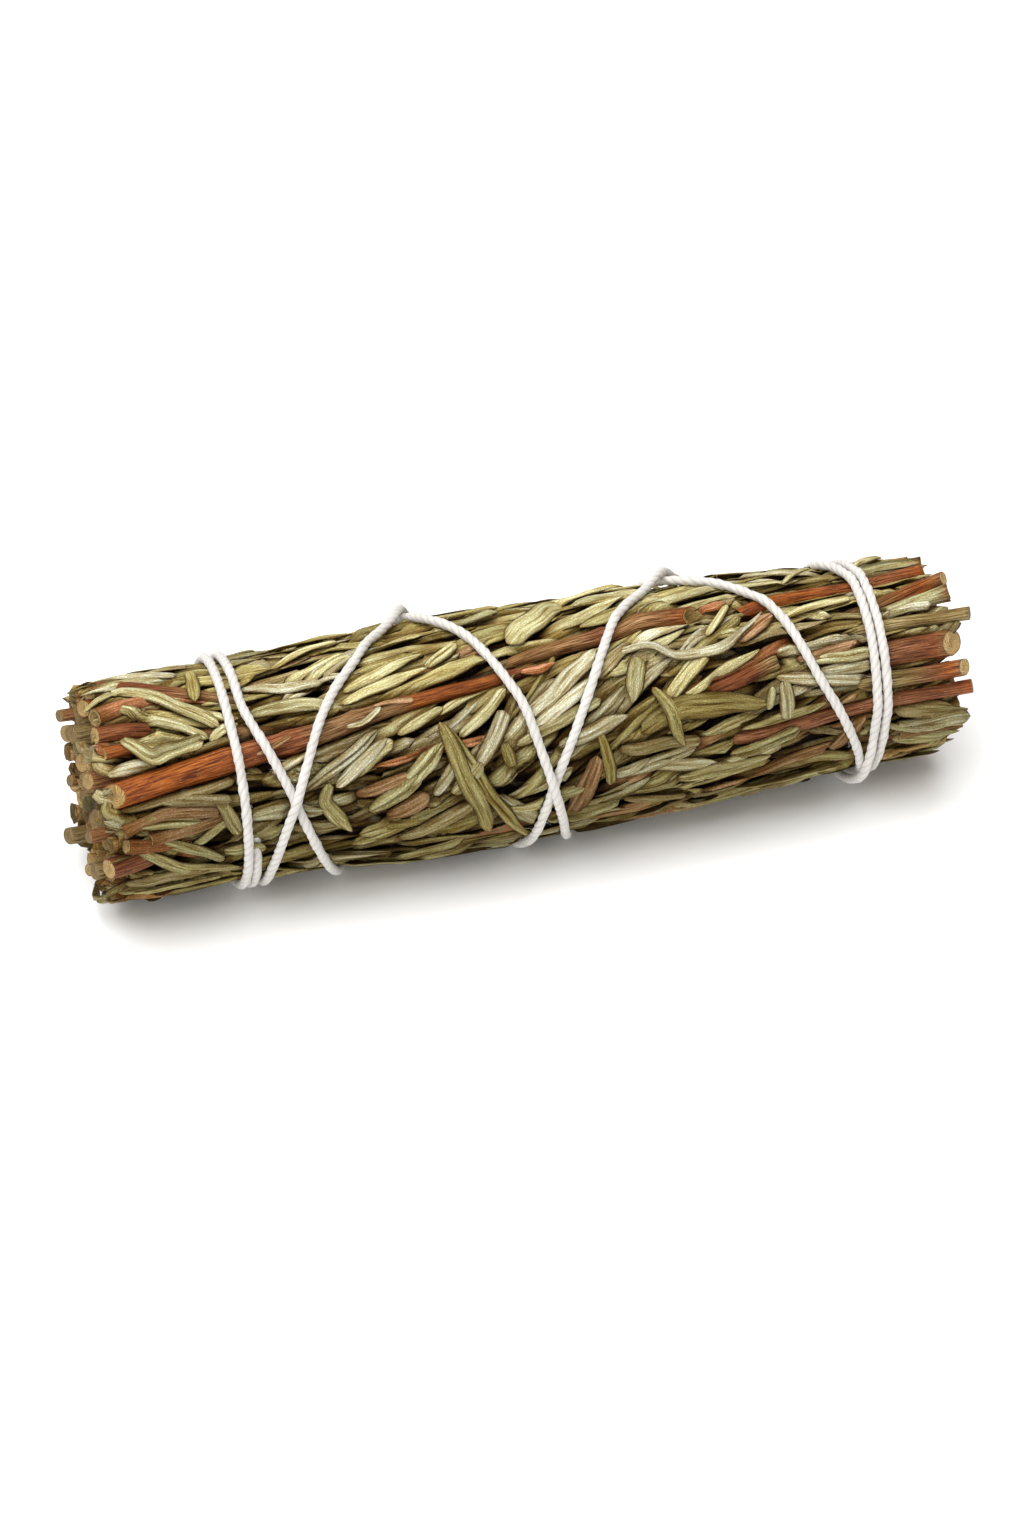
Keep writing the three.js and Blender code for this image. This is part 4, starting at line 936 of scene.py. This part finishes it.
def lay_layer(
    piles, rng, lanes, length_range, width_range, share_step, heights, detail, turn_spread, spread_up,
    far_side_only,
):
    """Leaves in lanes round the whole bundle, each lane filled from end to end."""
    for lane in range(lanes):
        x = CORE_LEFT - 6 + rng.uniform(0, length_range[1])
        while x < CORE_RIGHT + 4:
            length = rng.uniform(*length_range)
            degrees = (lane + rng.uniform(-0.35, 0.35)) * 360 / lanes - LEAN * math.sin(x / LEAN_LENGTH)
            lift = rng.normal(0, spread_up)
            width = rng.uniform(*width_range)
            raised = [height + lift for height in heights]
            if far_side_only and abs(away_from(degrees, 50)) < 80:
                x += length
                continue
            lay_leaf(piles, x, degrees, length, width, rng, raised, detail, turn_spread)
            x += length * share_step


def end_tone(rng, degrees):
    """Cut leaf ends are browner and paler than the leaves."""
    browned = rng.uniform(0.05, 0.65)
    return 1.15 * (pick_tone(rng, degrees) * (1 - browned) + CUT_TONE * browned)


STUB_CLEAR = 1.9  # room between the middle of a stub and the bark of a stem
END_LENGTH = 12  # how far from its cut end a stem still counts as there


def near_stem(x, degrees, radius):
    """Whether a place near an end of the bundle is taken by one of the stems."""
    here = place(x, degrees, radius)
    for stations in stems:
        end = stations[0] if x < 0 else stations[-1]
        if abs(end[0] - x) > END_LENGTH:
            continue
        end_place = place(end[0], end[1], float(surface_radius(end[0])) - end[2] + end[3])
        if np.linalg.norm((here - end_place)[1:]) < end[2] + STUB_CLEAR:
            return True
    return False


# Rings of tufts and stubs at the ends: radius for a bundle of the radius below, and how many there are
END_RADIUS = 18.7
STUB_ROOM = 3.5  # millimetres round the bundle for one stub
TUFT_RINGS = [(4.5, 6), (7.6, 10), (10.5, 14), (13.2, 18), (15.5, 24), (17.2, 34)]
STUB_RINGS = [(ring, round(2 * math.pi * ring / STUB_ROOM)) for ring in (2.9, 6.1, 9.1, 11.9, 14.4, 16.4)]
# For the left and the right end: where the shortest one ends, and how much further the longest one reaches
TUFT_TIPS = {-1: (-70.0, 2.6), 1: (67.8, 4.6)}
STUB_TIPS = {-1: (-70.2, 3.0), 1: (68.2, 4.4)}
STUB_LENGTH = 9
STUB_POINTS = 8
STUB_FLARE = [0.7, 0.85, 1.1]  # a stub's thickness from root to tip
FLARE_LENGTH = 2


def end_places(rng, rings, jitter):
    """The side, the ring's radius and the degrees round it of every tuft or stub."""
    for side in (-1, 1):
        for ring, count in rings:
            for i in range(count):
                yield side, ring, 360 * (i + rng.uniform(-jitter, jitter)) / count


def end_tip(rng, side, tips):
    """The x at which a tuft or stub ends, on the given side of the bundle."""
    start, reach = tips[side]
    return start + side * rng.uniform(0, reach)


def end_pile(piles, inner_pile, orbit, x, degrees):
    """The pile of the sprig, or of the inner bunch, that a tuft or stub belongs to."""
    return inner_pile if orbit < INNER_RADIUS - 1 else piles[sprig_at(x, degrees)]


def end_tufts(piles, inner_pile, rng):
    """Leaf ends packed round the cut stems at both ends of the bundle."""
    for side, ring, degrees in end_places(rng, TUFT_RINGS, 0.35):
        orbit = ring + rng.uniform(-0.7, 0.7)
        if near_stem(CORE_LEFT if side < 0 else CORE_RIGHT, degrees, orbit):
            continue
        tip = end_tip(rng, side, TUFT_TIPS)
        root = tip - side * rng.uniform(9, 13)
        turn = rng.normal(0, 8)
        depth = (orbit - END_RADIUS) * float(surface_radius(tip)) / END_RADIUS
        leaf(
            end_pile(piles, inner_pile, orbit, tip, degrees),
            [(root, degrees + turn), (0.5 * (root + tip), degrees), (tip, degrees - turn)],
            rng.uniform(1.9, 3.0), end_tone(rng, degrees), rng.choice(["crown", "twin", "trough"]), rng,
            [depth - 0.4, depth, depth, depth + rng.normal(0, 0.3)], "plain", roll=rng.uniform(-0.6, 0.6),
            twist=rng.normal(0, 0.4), depth=rng.uniform(0.8, 1.3), tip="blunt", thickness=0.9,
        )


def end_stubs(piles, inner_pile, rng):
    """Short thick ends of rolled leaves and soft twigs, cut off round the stems at both ends."""
    for side, orbit, degrees in end_places(rng, STUB_RINGS, 0.3):
        tip = end_tip(rng, side, STUB_TIPS)
        deep = orbit * float(surface_radius(tip)) / END_RADIUS + rng.uniform(-0.5, 0.5)
        if near_stem(tip, degrees, deep):
            continue
        root = tip - side * STUB_LENGTH
        size = rng.uniform(1.0, 1.75)
        x = np.linspace(root, tip, STUB_POINTS)
        depth = deep - float(surface_radius(tip)) - 0.5 * size
        path = place(x, degrees + rng.normal(0, 4) * (tip - x) / STUB_LENGTH, surface_radius(x) + depth)
        path[:, 2] = np.maximum(path[:, 2], size * 1.1)
        radii = size * np.interp(x, sorted([root, tip - side * FLARE_LENGTH, tip]), STUB_FLARE[::side])
        radii = radii * (1 + 0.05 * rng.standard_normal(STUB_POINTS))
        tone = end_tone(rng, degrees)
        browned = 0.5 * tone + 0.5 * CUT_TONE * rng.uniform(0.6, 1.1)
        inside = tone * rng.uniform(0.25, 0.8) if rng.uniform() < 0.85 else PALE_WOOD * 0.75
        # Painted shade: a stub is painted darker the deeper it goes into the bundle, lighter near its cut tip
        dark, pale = tone * 0.25, tone * 0.62
        colours = [(root, dark), (tip - side * 4.5, dark), (tip - side * 1.8, pale), (tip, browned)]
        bark_stem(
            end_pile(piles, inner_pile, orbit, tip, degrees), path, radii, rng, colours[::side],
            ring_step=0.9, sides=14, hollow=rng.uniform(0.1, 0.6), wood=inside, slant=(0.1, 0.6), uneven=4.5,
        )


def end_twigs(piles, rng):
    """The listed twigs and rolled leaves at the ends, browner towards the end of the bundle."""
    for stations, tone_name in END_TWIGS:
        points, radii = stem_line(stations)
        x, degrees = stations[1][:2]
        tone = LEAF_TONES[tone_name] * side_light(degrees)
        order = 1 if x < 0 else -1
        outer_x, inner_x = [stations[0][0], stations[-1][0]][::order]
        colours = [(outer_x, TIP_TONE), (0.75 * outer_x + 0.25 * inner_x, tone), (inner_x, tone * 0.8)]
        bark_stem(
            piles[sprig_at(x, degrees)], points, radii, rng, colours[::order], sides=20, hollow=0.3,
            wood=PALE_WOOD * 0.85, uneven=3.0,
        )


CORE_STATIONS = 60
CORE_WIDTH_POINTS = 10


def packed_core(pile, rng, inner, sprig, first, last, depth):
    """The packed foliage in one slice, painted dark as the shade deep in the bundle, from a radius to a depth
    under the leaf tops, uneven outside.
    """
    shares = np.linspace(-0.5, 0.5, CORE_WIDTH_POINTS)
    rings = []
    for x in np.linspace(first, last, CORE_STATIONS):
        middle = sprig_middle(sprig, x)
        outside = float(surface_radius(x)) - depth + 0.35 * wobble(rng, shares * 9, shares * 0 + x, 3, 1, 0.8)
        outer_ring = place(x, middle + shares * SPRIG_STEP, outside)
        inner_ring = place(x, middle + shares[::-3] * SPRIG_STEP, np.full(4, float(inner)))
        rings.append(np.vstack([outer_ring, inner_ring]))
    rings = np.array(rings)
    tones = np.broadcast_to(CORE_SHADE_TONE, rings.shape)
    pile.add(rings, tones, rings[..., :2], end_tones=CORE_SHADE_TONE, end_grains=ring_middles(rings)[:, :2])


COLOUR_SOCKETS = 6  # the mix node's first colour socket


class Nodes:
    """Short names for building a node material."""

    def __init__(self, name):
        self.material = bpy.data.materials.new(name)
        self.material.use_nodes = True
        self.tree = self.material.node_tree
        self.shader = self.tree.nodes["Principled BSDF"]

    def add(self, kind, **values):
        node = self.tree.nodes.new("ShaderNode" + kind)
        for key, value in values.items():
            if key in node.inputs:
                node.inputs[key].default_value = value
            else:
                setattr(node, key, value)
        return node

    def link(self, source, target):
        self.tree.links.new(source, target)

    def settings(self, **values):
        """Numbers and colours that are the same all over, on the shader's own sockets."""
        for name, value in values.items():
            self.shader.inputs[name.replace("_", " ")].default_value = value

    def stretched(self, scale):
        """The place along the grain, scaled across it and along it, in millimetres."""
        grain = self.add("UVMap", uv_map="grain")
        mapping = self.add("Mapping")
        mapping.inputs["Scale"].default_value = scale
        self.link(grain.outputs[0], mapping.inputs["Vector"])
        return mapping.outputs[0]

    def noise(self, scale, detail=3.0, roughness=0.55):
        node = self.add("TexNoise", Scale=1.0, Detail=detail, Roughness=roughness)
        self.link(self.stretched(scale), node.inputs["Vector"])
        return node.outputs[0]

    def remap(self, value, low, high, to_low, to_high):
        """A value between low and high, moved to between to_low and to_high."""
        node = self.add("MapRange")
        for name, number in zip(("From Min", "From Max", "To Min", "To Max"), (low, high, to_low, to_high)):
            node.inputs[name].default_value = number
        self.link(value, node.inputs["Value"])
        return node.outputs[0]

    def feed(self, node, first, pair):
        """Puts two numbers, colours or other nodes' outputs into sockets that lie side by side."""
        for target, value in zip(node.inputs[first:first + 2], pair):
            if isinstance(value, (int, float, tuple)):
                target.default_value = value
            else:
                self.link(value, target)

    def maths(self, operation, a, b):
        node = self.add("Math", operation=operation)
        self.feed(node, 0, (a, b))
        return node.outputs[0]

    def times(self, a, b):
        return self.maths("MULTIPLY", a, b)

    def scaled_colour(self, colour, factor):
        node = self.add("VectorMath", operation="SCALE")
        self.link(colour, node.inputs[0])
        self.link(factor, node.inputs["Scale"])
        return node.outputs[0]

    def shaded(self, colour, shade):
        """A colour times a shade, warmer where it is dark."""
        parts = self.add("CombineXYZ")
        for i, power in enumerate(DARK_WARMTH):
            self.link(self.maths("POWER", shade, float(power)), parts.inputs[i])
        node = self.add("VectorMath", operation="MULTIPLY")
        self.link(colour, node.inputs[0])
        self.link(parts.outputs[0], node.inputs[1])
        return node.outputs[0]

    def mixed(self, a, b, factor):
        node = self.add("Mix", data_type="RGBA")
        self.link(factor, node.inputs["Factor"])
        self.feed(node, COLOUR_SOCKETS, (a, b))
        return node.outputs[2]

    def tone(self):
        return self.add("Attribute", attribute_name="tone").outputs["Color"]

    def bump(self, height, distance_mm, strength):
        node = self.add("Bump", Strength=strength, Distance=distance_mm * MM)
        self.link(height, node.inputs["Height"])
        self.link(node.outputs[0], self.shader.inputs["Normal"])


def rgba(colour):
    return (*[float(value) for value in colour], 1.0)


PALE_PATCH = srgb(188, 180, 140)
BROWN_PATCH = srgb(116, 82, 44)
BARK_SCAR = srgb(214, 172, 120)


def leaf_material(name, vein_strength):
    """Dry sage leaf: fine net veins, long creases with painted shade and light on them, pale down."""
    nodes = Nodes(name)
    creases = nodes.noise((2.2, 0.13, 1), detail=4, roughness=0.62)
    net = nodes.add("TexVoronoi", feature="DISTANCE_TO_EDGE", Scale=1.0)
    nodes.link(nodes.stretched((3.4, 1.7, 1)), net.inputs["Vector"])
    veins = nodes.remap(net.outputs["Distance"], 0.02, 0.22, 0.0, 1.0)
    mottle = nodes.noise((0.5, 0.25, 1), detail=4)
    down = nodes.noise((9, 6, 1), detail=2)
    # Painted shade in the creases and painted light on their ridges, times the veins and down
    shade = nodes.times(nodes.remap(creases, 0.36, 0.62, 0.42, 1.32), nodes.remap(veins, 0, 1, 0.78, 1.05))
    shade = nodes.times(shade, nodes.remap(down, 0.3, 0.7, 0.9, 1.1))
    base = nodes.shaded(nodes.tone(), shade)
    pale = nodes.mixed(base, rgba(PALE_PATCH), nodes.remap(mottle, 0.56, 0.8, 0, 0.35))
    browned = nodes.mixed(pale, rgba(BROWN_PATCH), nodes.remap(mottle, 0.42, 0.22, 0, 0.5))
    nodes.link(browned, nodes.shader.inputs["Base Color"])
    nodes.settings(Roughness=0.78, Specular_IOR_Level=0.12)
    height = nodes.maths("ADD", nodes.times(creases, 1.2), nodes.times(veins, vein_strength))
    height = nodes.maths("ADD", height, nodes.times(down, 0.25))
    nodes.bump(height, 0.28, 1.0)
    return nodes.material


def bark_material(name, gloss, fissures):
    """Dry bark: long fissures, small pale scars and a slight shine."""
    nodes = Nodes(name)
    long_grain = nodes.noise((4.5, 0.2, 1), detail=5, roughness=0.65)
    fine = nodes.noise((10, 1.2, 1), detail=3)
    flecks = nodes.noise((2.6, 0.9, 1), detail=2)
    # Dark streaks along the grain: partly the bark's own colour, partly painted shade in the fissures that
    # the same noise bumps
    streaks = nodes.remap(long_grain, 0.39, 0.67, 0.16, 1.4)
    shade = nodes.times(streaks, nodes.remap(fine, 0.3, 0.7, 0.86, 1.12))
    base = nodes.shaded(nodes.tone(), shade)
    scarred = nodes.mixed(base, rgba(BARK_SCAR), nodes.remap(flecks, 0.64, 0.76, 0, 0.5))
    nodes.link(scarred, nodes.shader.inputs["Base Color"])
    nodes.link(nodes.remap(fine, 0.3, 0.7, gloss - 0.1, gloss + 0.12), nodes.shader.inputs["Roughness"])
    nodes.settings(Specular_IOR_Level=0.25)
    height = nodes.maths("ADD", nodes.times(long_grain, fissures), nodes.times(fine, 0.35))
    nodes.bump(height, 0.2, 1.0)
    return nodes.material


def cotton_material():
    """Soft twisted cotton: fine fibres along each ply."""
    nodes = Nodes("cotton")
    fibres = nodes.noise((9, 0.9, 1), detail=3)
    soil = nodes.noise((0.4, 0.12, 1), detail=2)
    shade = nodes.times(nodes.remap(fibres, 0.3, 0.7, 0.9, 1.05), nodes.remap(soil, 0.35, 0.7, 0.95, 1.02))
    nodes.link(nodes.scaled_colour(nodes.tone(), shade), nodes.shader.inputs["Base Color"])
    nodes.settings(Roughness=0.9, Specular_IOR_Level=0.2, Sheen_Weight=0.3)
    nodes.bump(fibres, 0.09, 0.6)
    return nodes.material


def floor_material():
    """White paper."""
    nodes = Nodes("paper_floor")
    speck = nodes.add("TexNoise", Scale=40.0, Detail=2.0)
    base = nodes.mixed(rgba((0.95, 0.95, 0.95)), rgba((0.96, 0.96, 0.96)), speck.outputs[0])
    nodes.link(base, nodes.shader.inputs["Base Color"])
    nodes.settings(
        Roughness=0.9, Specular_IOR_Level=0.0, Emission_Color=(1, 1, 1, 1), Emission_Strength=0.04,
    )
    return nodes.material


materials = {
    "leaf": leaf_material("sage_leaf", 0.35),
    "grey_leaf": leaf_material("grey_sage_leaf", 0.5),
    "stem": bark_material("red_bark", 0.5, 1.3),
    "grey_stem": bark_material("grey_bark", 0.68, 1.5),
    "string": cotton_material(),
}
materials["inner_leaf"] = materials["leaf"]

sprig_stems = [sprig_stations(sprig) for sprig in range(SPRIGS)]
stems = [*sprig_stems, *BRANCHES]
line = string_line(STRING_ROUTE, stems, STRING_STEP)

pressed_map = SurfaceMap(FREE)  # under the string
beside_map = SurfaceMap(FREE)  # beside and under the stems
carry_map = SurfaceMap(-FREE)  # the stems' tops, which leaves lie on
marked_map = SurfaceMap(FREE)  # under the leaves that stand out in the photograph

COVERED = -0.7  # a stem this deep has leaves over it
HIDDEN_START = 32  # steps of the string that lie under the leaves at its start
STRING_PRESS_REACH = 4.0  # distances from a middle line at which leaves are still pressed down
BESIDE_REACH = 1.8
MARKED_REACH = 1.2
PRESS_RADIUS = 0.85  # the string's radius with a little room


def under_string(distance):
    close = STRING_LIFT - 0.05 - np.sqrt(np.maximum(PRESS_RADIUS**2 - distance**2, 0))
    return np.where(distance < PRESS_RADIUS, close, STRING_LIFT + 0.9 * (distance - PRESS_RADIUS)) - 0.15


for point in line[HIDDEN_START::2]:
    angle = math.degrees(math.atan2(-point[1], point[2] - AXIS_HEIGHT))
    pressed_map.draw(point[0], angle, STRING_PRESS_REACH, under_string, np.minimum)
for stations in stems:
    for x, degrees, radius, proud in smooth_path(stations, 260):
        if proud < COVERED:
            continue
        middle = proud - radius
        beside_map.draw(
            x, degrees, radius + BESIDE_REACH,
            lambda d: middle - 0.1 + np.where(d < radius, 0, (d - radius) * 1.5), np.minimum,
        )
        carry_map.draw(
            x, degrees, radius, lambda d: middle + np.sqrt(np.maximum(radius**2 - d**2, 0)), np.maximum,
        )
for *path, width, _, _, lift in HERO_LEAVES:
    half = 0.5 * HERO_WIDTH * width
    for x, degrees in smooth_path(path, 30)[2:-2]:
        marked_map.draw(
            x, degrees, half + MARKED_REACH, lambda d: lift - 1.0 + 1.3 * np.maximum(d - half, 0), np.minimum,
        )


HERO_HEIGHTS = [-1.0, -0.5, -0.35, -0.3]  # from root to tip


def lay_hero(path, width, tone, style, lift, rng):
    """A leaf that stands out in the photograph, a little bent if its path has only two ends."""
    x, degrees = path[len(path) // 2]
    if len(path) == 2:
        (x0, d0), (x1, d1) = path
        middle = (0.5 * (x0 + x1) + rng.normal(0, 0.25), 0.5 * (d0 + d1) + rng.normal(0, 1.2))
        path = [path[0], middle, path[1]]
    leaf(
        leaf_piles[sprig_at(x, degrees)], path, HERO_WIDTH * width,
        LEAF_TONES[tone] * rng.uniform(0.92, 1.06) * side_light(degrees), style, rng,
        [height + lift for height in HERO_HEIGHTS], "fine", roll=rng.normal(0, 0.18),
        twist=rng.normal(0, 0.3), depth=rng.uniform(0.5, 0.8), tip=rng.choice(list(TIP_LENGTHS)),
        over=lift >= 0.3, marked=True,
    )


def add_piece(pile, name, slot, replaced=None):
    """A pile as a piece of the scene, in place of the solid that it dresses."""
    piece = pile.make(name, materials[slot])
    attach(piece, "root")
    if replaced:
        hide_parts(replaced)


# Leaves
leaf_piles = [Pile() for _ in range(SPRIGS)]
inner_pile = Pile()
rng = np.random.default_rng(LEAF_SEED)
for sprig, pile in enumerate(leaf_piles):
    packed_core(pile, rng, INNER_RADIUS - 0.5, sprig, CORE_LEFT + 1.5, CORE_RIGHT - 1, 3.6)
for layer in LAYERS:
    lay_layer(leaf_piles, rng, *layer)
end_tufts(leaf_piles, inner_pile, rng)
end_stubs(leaf_piles, inner_pile, rng)
hero_rng = np.random.default_rng(HERO_SEED)
for *path, width, tone, style, lift in HERO_LEAVES:
    lay_hero(path, width, tone, style, lift, hero_rng)
end_twigs(leaf_piles, np.random.default_rng(END_SEED))
for sprig, pile in enumerate(leaf_piles):
    name = f"sprig_{sprig + 1:02d}"
    add_piece(pile, f"{name}_foliage", "grey_leaf" if sprig % 3 == 1 else "leaf", f"{name}_leaves")
for angle in range(0, 360, 40):
    packed_core(inner_pile, rng, 1.0, (angle - SPRIG_START) / SPRIG_STEP, CORE_LEFT + 2, CORE_RIGHT - 2, 9.4)
add_piece(inner_pile, "inner_foliage", "inner_leaf", "inner_leaves")

# Stems: the colours of each branch at places along it, in the order of the branches
STEM_COLOURS = [
    [
        (-70, ORANGE), (-55, ORANGE * 0.95), (-47, RED_BROWN * 1.1), (-40, RED_BROWN),
        (-36, GREY_BARK * 0.75), (-23, GREY_BARK * 0.9), (-20, ORANGE * 0.8), (-8, ORANGE * 0.75),
        (-3, RED_BROWN), (2, GREY_BARK * 0.8),
    ],
    [
        (-6, GREY_BARK), (8, GREY_BARK), (13, RED_BROWN * 0.9), (18, GREY_BARK), (24, BROWN_BARK),
        (29, ORANGE * 0.9),
    ],
    [(50, GREEN_BARK), (62, BROWN_BARK), (68, ORANGE * 0.85), (73, BROWN_BARK)],
    [(47, RED_BROWN), (62, DULL_RED), (69, RED_BROWN * 1.1), (72, GREY_BARK)],
    [(44, GREEN_BARK), (62, GREEN_BARK), (67, DULL_RED), (71, ORANGE * 0.9), (73, GREY_BARK)],
    [(24, RED_BROWN), (36, RED_BROWN), (41, GREEN_BARK)],
    [(-72, ORANGE * 0.7), (-52, RED_BROWN)],
    [(-72, RED_BROWN), (-48, RED_BROWN)],
    [(-71, ORANGE * 0.8), (-50, RED_BROWN)],
    [(-72, RED_BROWN), (-50, BROWN_BARK)],
    [(-72, BROWN_BARK), (-56, GREEN_BARK)],
    [(-69, ORANGE * 0.7), (-60, RED_BROWN), (-54, GREY_BARK), (-44, GREEN_BARK)],
    [(-72, ORANGE * 0.8), (-30, RED_BROWN), (-14, GREY_BARK)],
    [(2, GREY_BARK), (30, RED_BROWN), (73, ORANGE * 0.8)],
    [(-36, GREEN_BARK), (0, BROWN_BARK), (18, RED_BROWN)],
]
# The same for the sprigs' stems that come up to the surface, by number
SHOWN_COLOURS = {
    1: [(-72, BROWN_BARK), (30, ORANGE * 0.8), (50, ORANGE * 0.85), (64, RED_BROWN), (71, ORANGE)],
    2: [(-72, BROWN_BARK), (42, GREEN_BARK), (75, GREEN_BARK)],
    3: [(-72, GREEN_BARK), (24, DULL_RED), (60, DULL_RED), (72, RED_BROWN), (74, ORANGE)],
}
# Knots by the branch's number: x, turn round the stem and size
KNOTS = {
    1: [(-52, 0.4, 0.08), (-41, -0.8, 0.16), (-30, 0.2, 0.18), (-22.5, 0.6, 0.12), (-6, 0.5, 0.12)],
    2: [(13, 0.5, 0.3), (20, -0.5, 0.14)],
    4: [(69.5, 0.0, 0.12)],
    6: [(40, 0.2, 0.2)],
    12: [(-57, 0.3, 0.2)],
}
GREY_BRANCHES = [3, 6, 11]
FINE_BRANCHES = [1, 2, 4]
HOLLOW_BRANCH = 2
# Branches whose cut faces are turned to the camera, at the near end and, even more, at the far one
NEAR_CUTS, FAR_CUTS = [1, 10], [2, 3, 4, 5]
PLAIN_SLANT, NEAR_SLANT, FAR_SLANT = (0.4, 0.6), (0.7, 0.8), (1.0, 1.15)
FAR_CUT_PAINTED_LIGHT = 1.4  # painted light: the far cut faces turn away from the lamps, so their wood is painted this much paler


def add_stem(name, piece_name, line, seed, colours, knots=(), hollow=0.0, grey=False, **more):
    """A stem along a line, with its radii, in place of its solid."""
    pile = Pile()
    bark_stem(pile, *line, np.random.default_rng(seed), colours, knots=knots, hollow=hollow, **more)
    add_piece(pile, piece_name, "grey_stem" if grey else "stem", name)


for number, (stations, colours) in enumerate(zip(BRANCHES, STEM_COLOURS), 1):
    name = f"branch_{number:02d}"
    slant = FAR_SLANT if number in FAR_CUTS else NEAR_SLANT if number in NEAR_CUTS else PLAIN_SLANT
    add_stem(
        name, f"{name}_bark", stem_line(stations), BRANCH_SEED + number, colours, KNOTS.get(number, ()),
        0.5 if number == HOLLOW_BRANCH else 0.12, number in GREY_BRANCHES,
        slant=slant, wood=PALE_WOOD * (FAR_CUT_PAINTED_LIGHT if number in FAR_CUTS else 1.0),
        sides=32 if number in FINE_BRANCHES else 22,
    )
for sprig, stations in enumerate(sprig_stems):
    plain = [(-72, BROWN_BARK if sprig % 2 else GREEN_BARK * 0.8), (0, BROWN_BARK), (72, RED_BROWN)]
    name = f"sprig_{sprig + 1:02d}"
    add_stem(
        f"{name}_stem", f"{name}_twig", stem_line(stations), SPRIG_SEED + sprig,
        SHOWN_COLOURS.get(sprig + 1, plain), ring_step=0.9, sides=16,
        wood=PALE_WOOD * (0.8 if sprig % 3 == 0 else 0.45),
    )
for i, radius in enumerate(INNER_STEM_RADII):
    number = f"{i + 1:02d}"
    low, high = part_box(f"inner_stem_{number}")
    angle = (60 * i + 15) * DEGREE
    ring = INNER_RING_RADIUS if i else 0
    y, z = ring * math.cos(angle), AXIS_HEIGHT + ring * math.sin(angle)
    points = np.array([[x, y, z] for x in np.linspace(low.x / MM, high.x / MM, 12)])
    colours = [(0, (RED_BROWN if i % 3 == 1 else BROWN_BARK) * (0.7 + 0.05 * i))]
    add_stem(
        f"inner_stem_{number}", f"inner_twig_{number}", (points, np.full(12, radius)), INNER_SEED + i,
        colours, ring_step=2.0, sides=18, wood=PALE_WOOD * (0.85 if i % 3 == 1 else 0.5),
    )

# String
string_pile = Pile()
fuzz_pile = Pile()
string_rng = np.random.default_rng(STRING_SEED)
twisted(string_pile, line, string_rng)
twisted(string_pile, knot_points(stems), string_rng, KNOT_STRING_RADIUS)
for route in KNOT_ENDS:
    twisted(string_pile, string_line(route, stems, STRING_STEP), string_rng, KNOT_STRING_RADIUS, taper=True)
fuzz(fuzz_pile, line, string_rng, FIBRES)
add_piece(string_pile, "cotton_string", "string", "string")
add_piece(fuzz_pile, "string_fuzz", "string")

# Camera, floor and light
CAMERA_AZIMUTH = -15.6
CAMERA_ELEVATION = 37.0
CAMERA_DISTANCE = 826
CAMERA_TARGET = Vector((0, 0, 19))
FOCAL_PIXELS = 5000
IMAGE_WIDTH, IMAGE_HEIGHT = 1024, 1536
TARGET_PIXEL = (518, 723)

azimuth, elevation = CAMERA_AZIMUTH * DEGREE, CAMERA_ELEVATION * DEGREE
back = Vector((
    math.sin(azimuth) * math.cos(elevation), -math.cos(azimuth) * math.cos(elevation), math.sin(elevation),
))
camera_data = bpy.data.cameras.new("camera")
camera_data.sensor_fit = "VERTICAL"
camera_data.sensor_height = 36
camera_data.lens = FOCAL_PIXELS / IMAGE_HEIGHT * camera_data.sensor_height
camera_data.shift_x = (IMAGE_WIDTH / 2 - TARGET_PIXEL[0]) / IMAGE_HEIGHT
camera_data.shift_y = (TARGET_PIXEL[1] - IMAGE_HEIGHT / 2) / IMAGE_HEIGHT
camera_data.clip_start = 0.01
camera = bpy.data.objects.new("camera", camera_data)
bpy.context.scene.collection.objects.link(camera)
camera.location = (CAMERA_TARGET + back * CAMERA_DISTANCE) * MM
camera.rotation_euler = back.to_track_quat("Z", "Y").to_euler()
bpy.context.scene.camera = camera

bpy.ops.mesh.primitive_plane_add(size=6, location=(0, 0, 0))
floor = bpy.context.object
floor.name = "floor"
floor.data.materials.append(floor_material())
floor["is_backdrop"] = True

world = bpy.data.worlds.new("studio")
world.use_nodes = True
world.node_tree.nodes["Background"].inputs["Color"].default_value = (1, 0.94, 0.84, 1)
world.node_tree.nodes["Background"].inputs["Strength"].default_value = 0.22
bpy.context.scene.world = world


def sun(name, from_direction, strength, softness):
    """A broad, soft light that is the same all over the floor; softness is its width in degrees."""
    data = bpy.data.lights.new(name, "SUN")
    data.energy = strength
    data.angle = softness * DEGREE
    light = bpy.data.objects.new(name, data)
    bpy.context.scene.collection.objects.link(light)
    light.rotation_euler = Vector(from_direction).to_track_quat("Z", "Y").to_euler()


sun("top_light", (-0.2, 0.02, 0.97), 3.9, 75)
sun("front_light", (-0.62, -0.6, 0.5), 0.85, 40)

bpy.context.scene.view_settings.view_transform = "Standard"

[[list(corner) for corner in box] for box in (cad_box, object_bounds())]
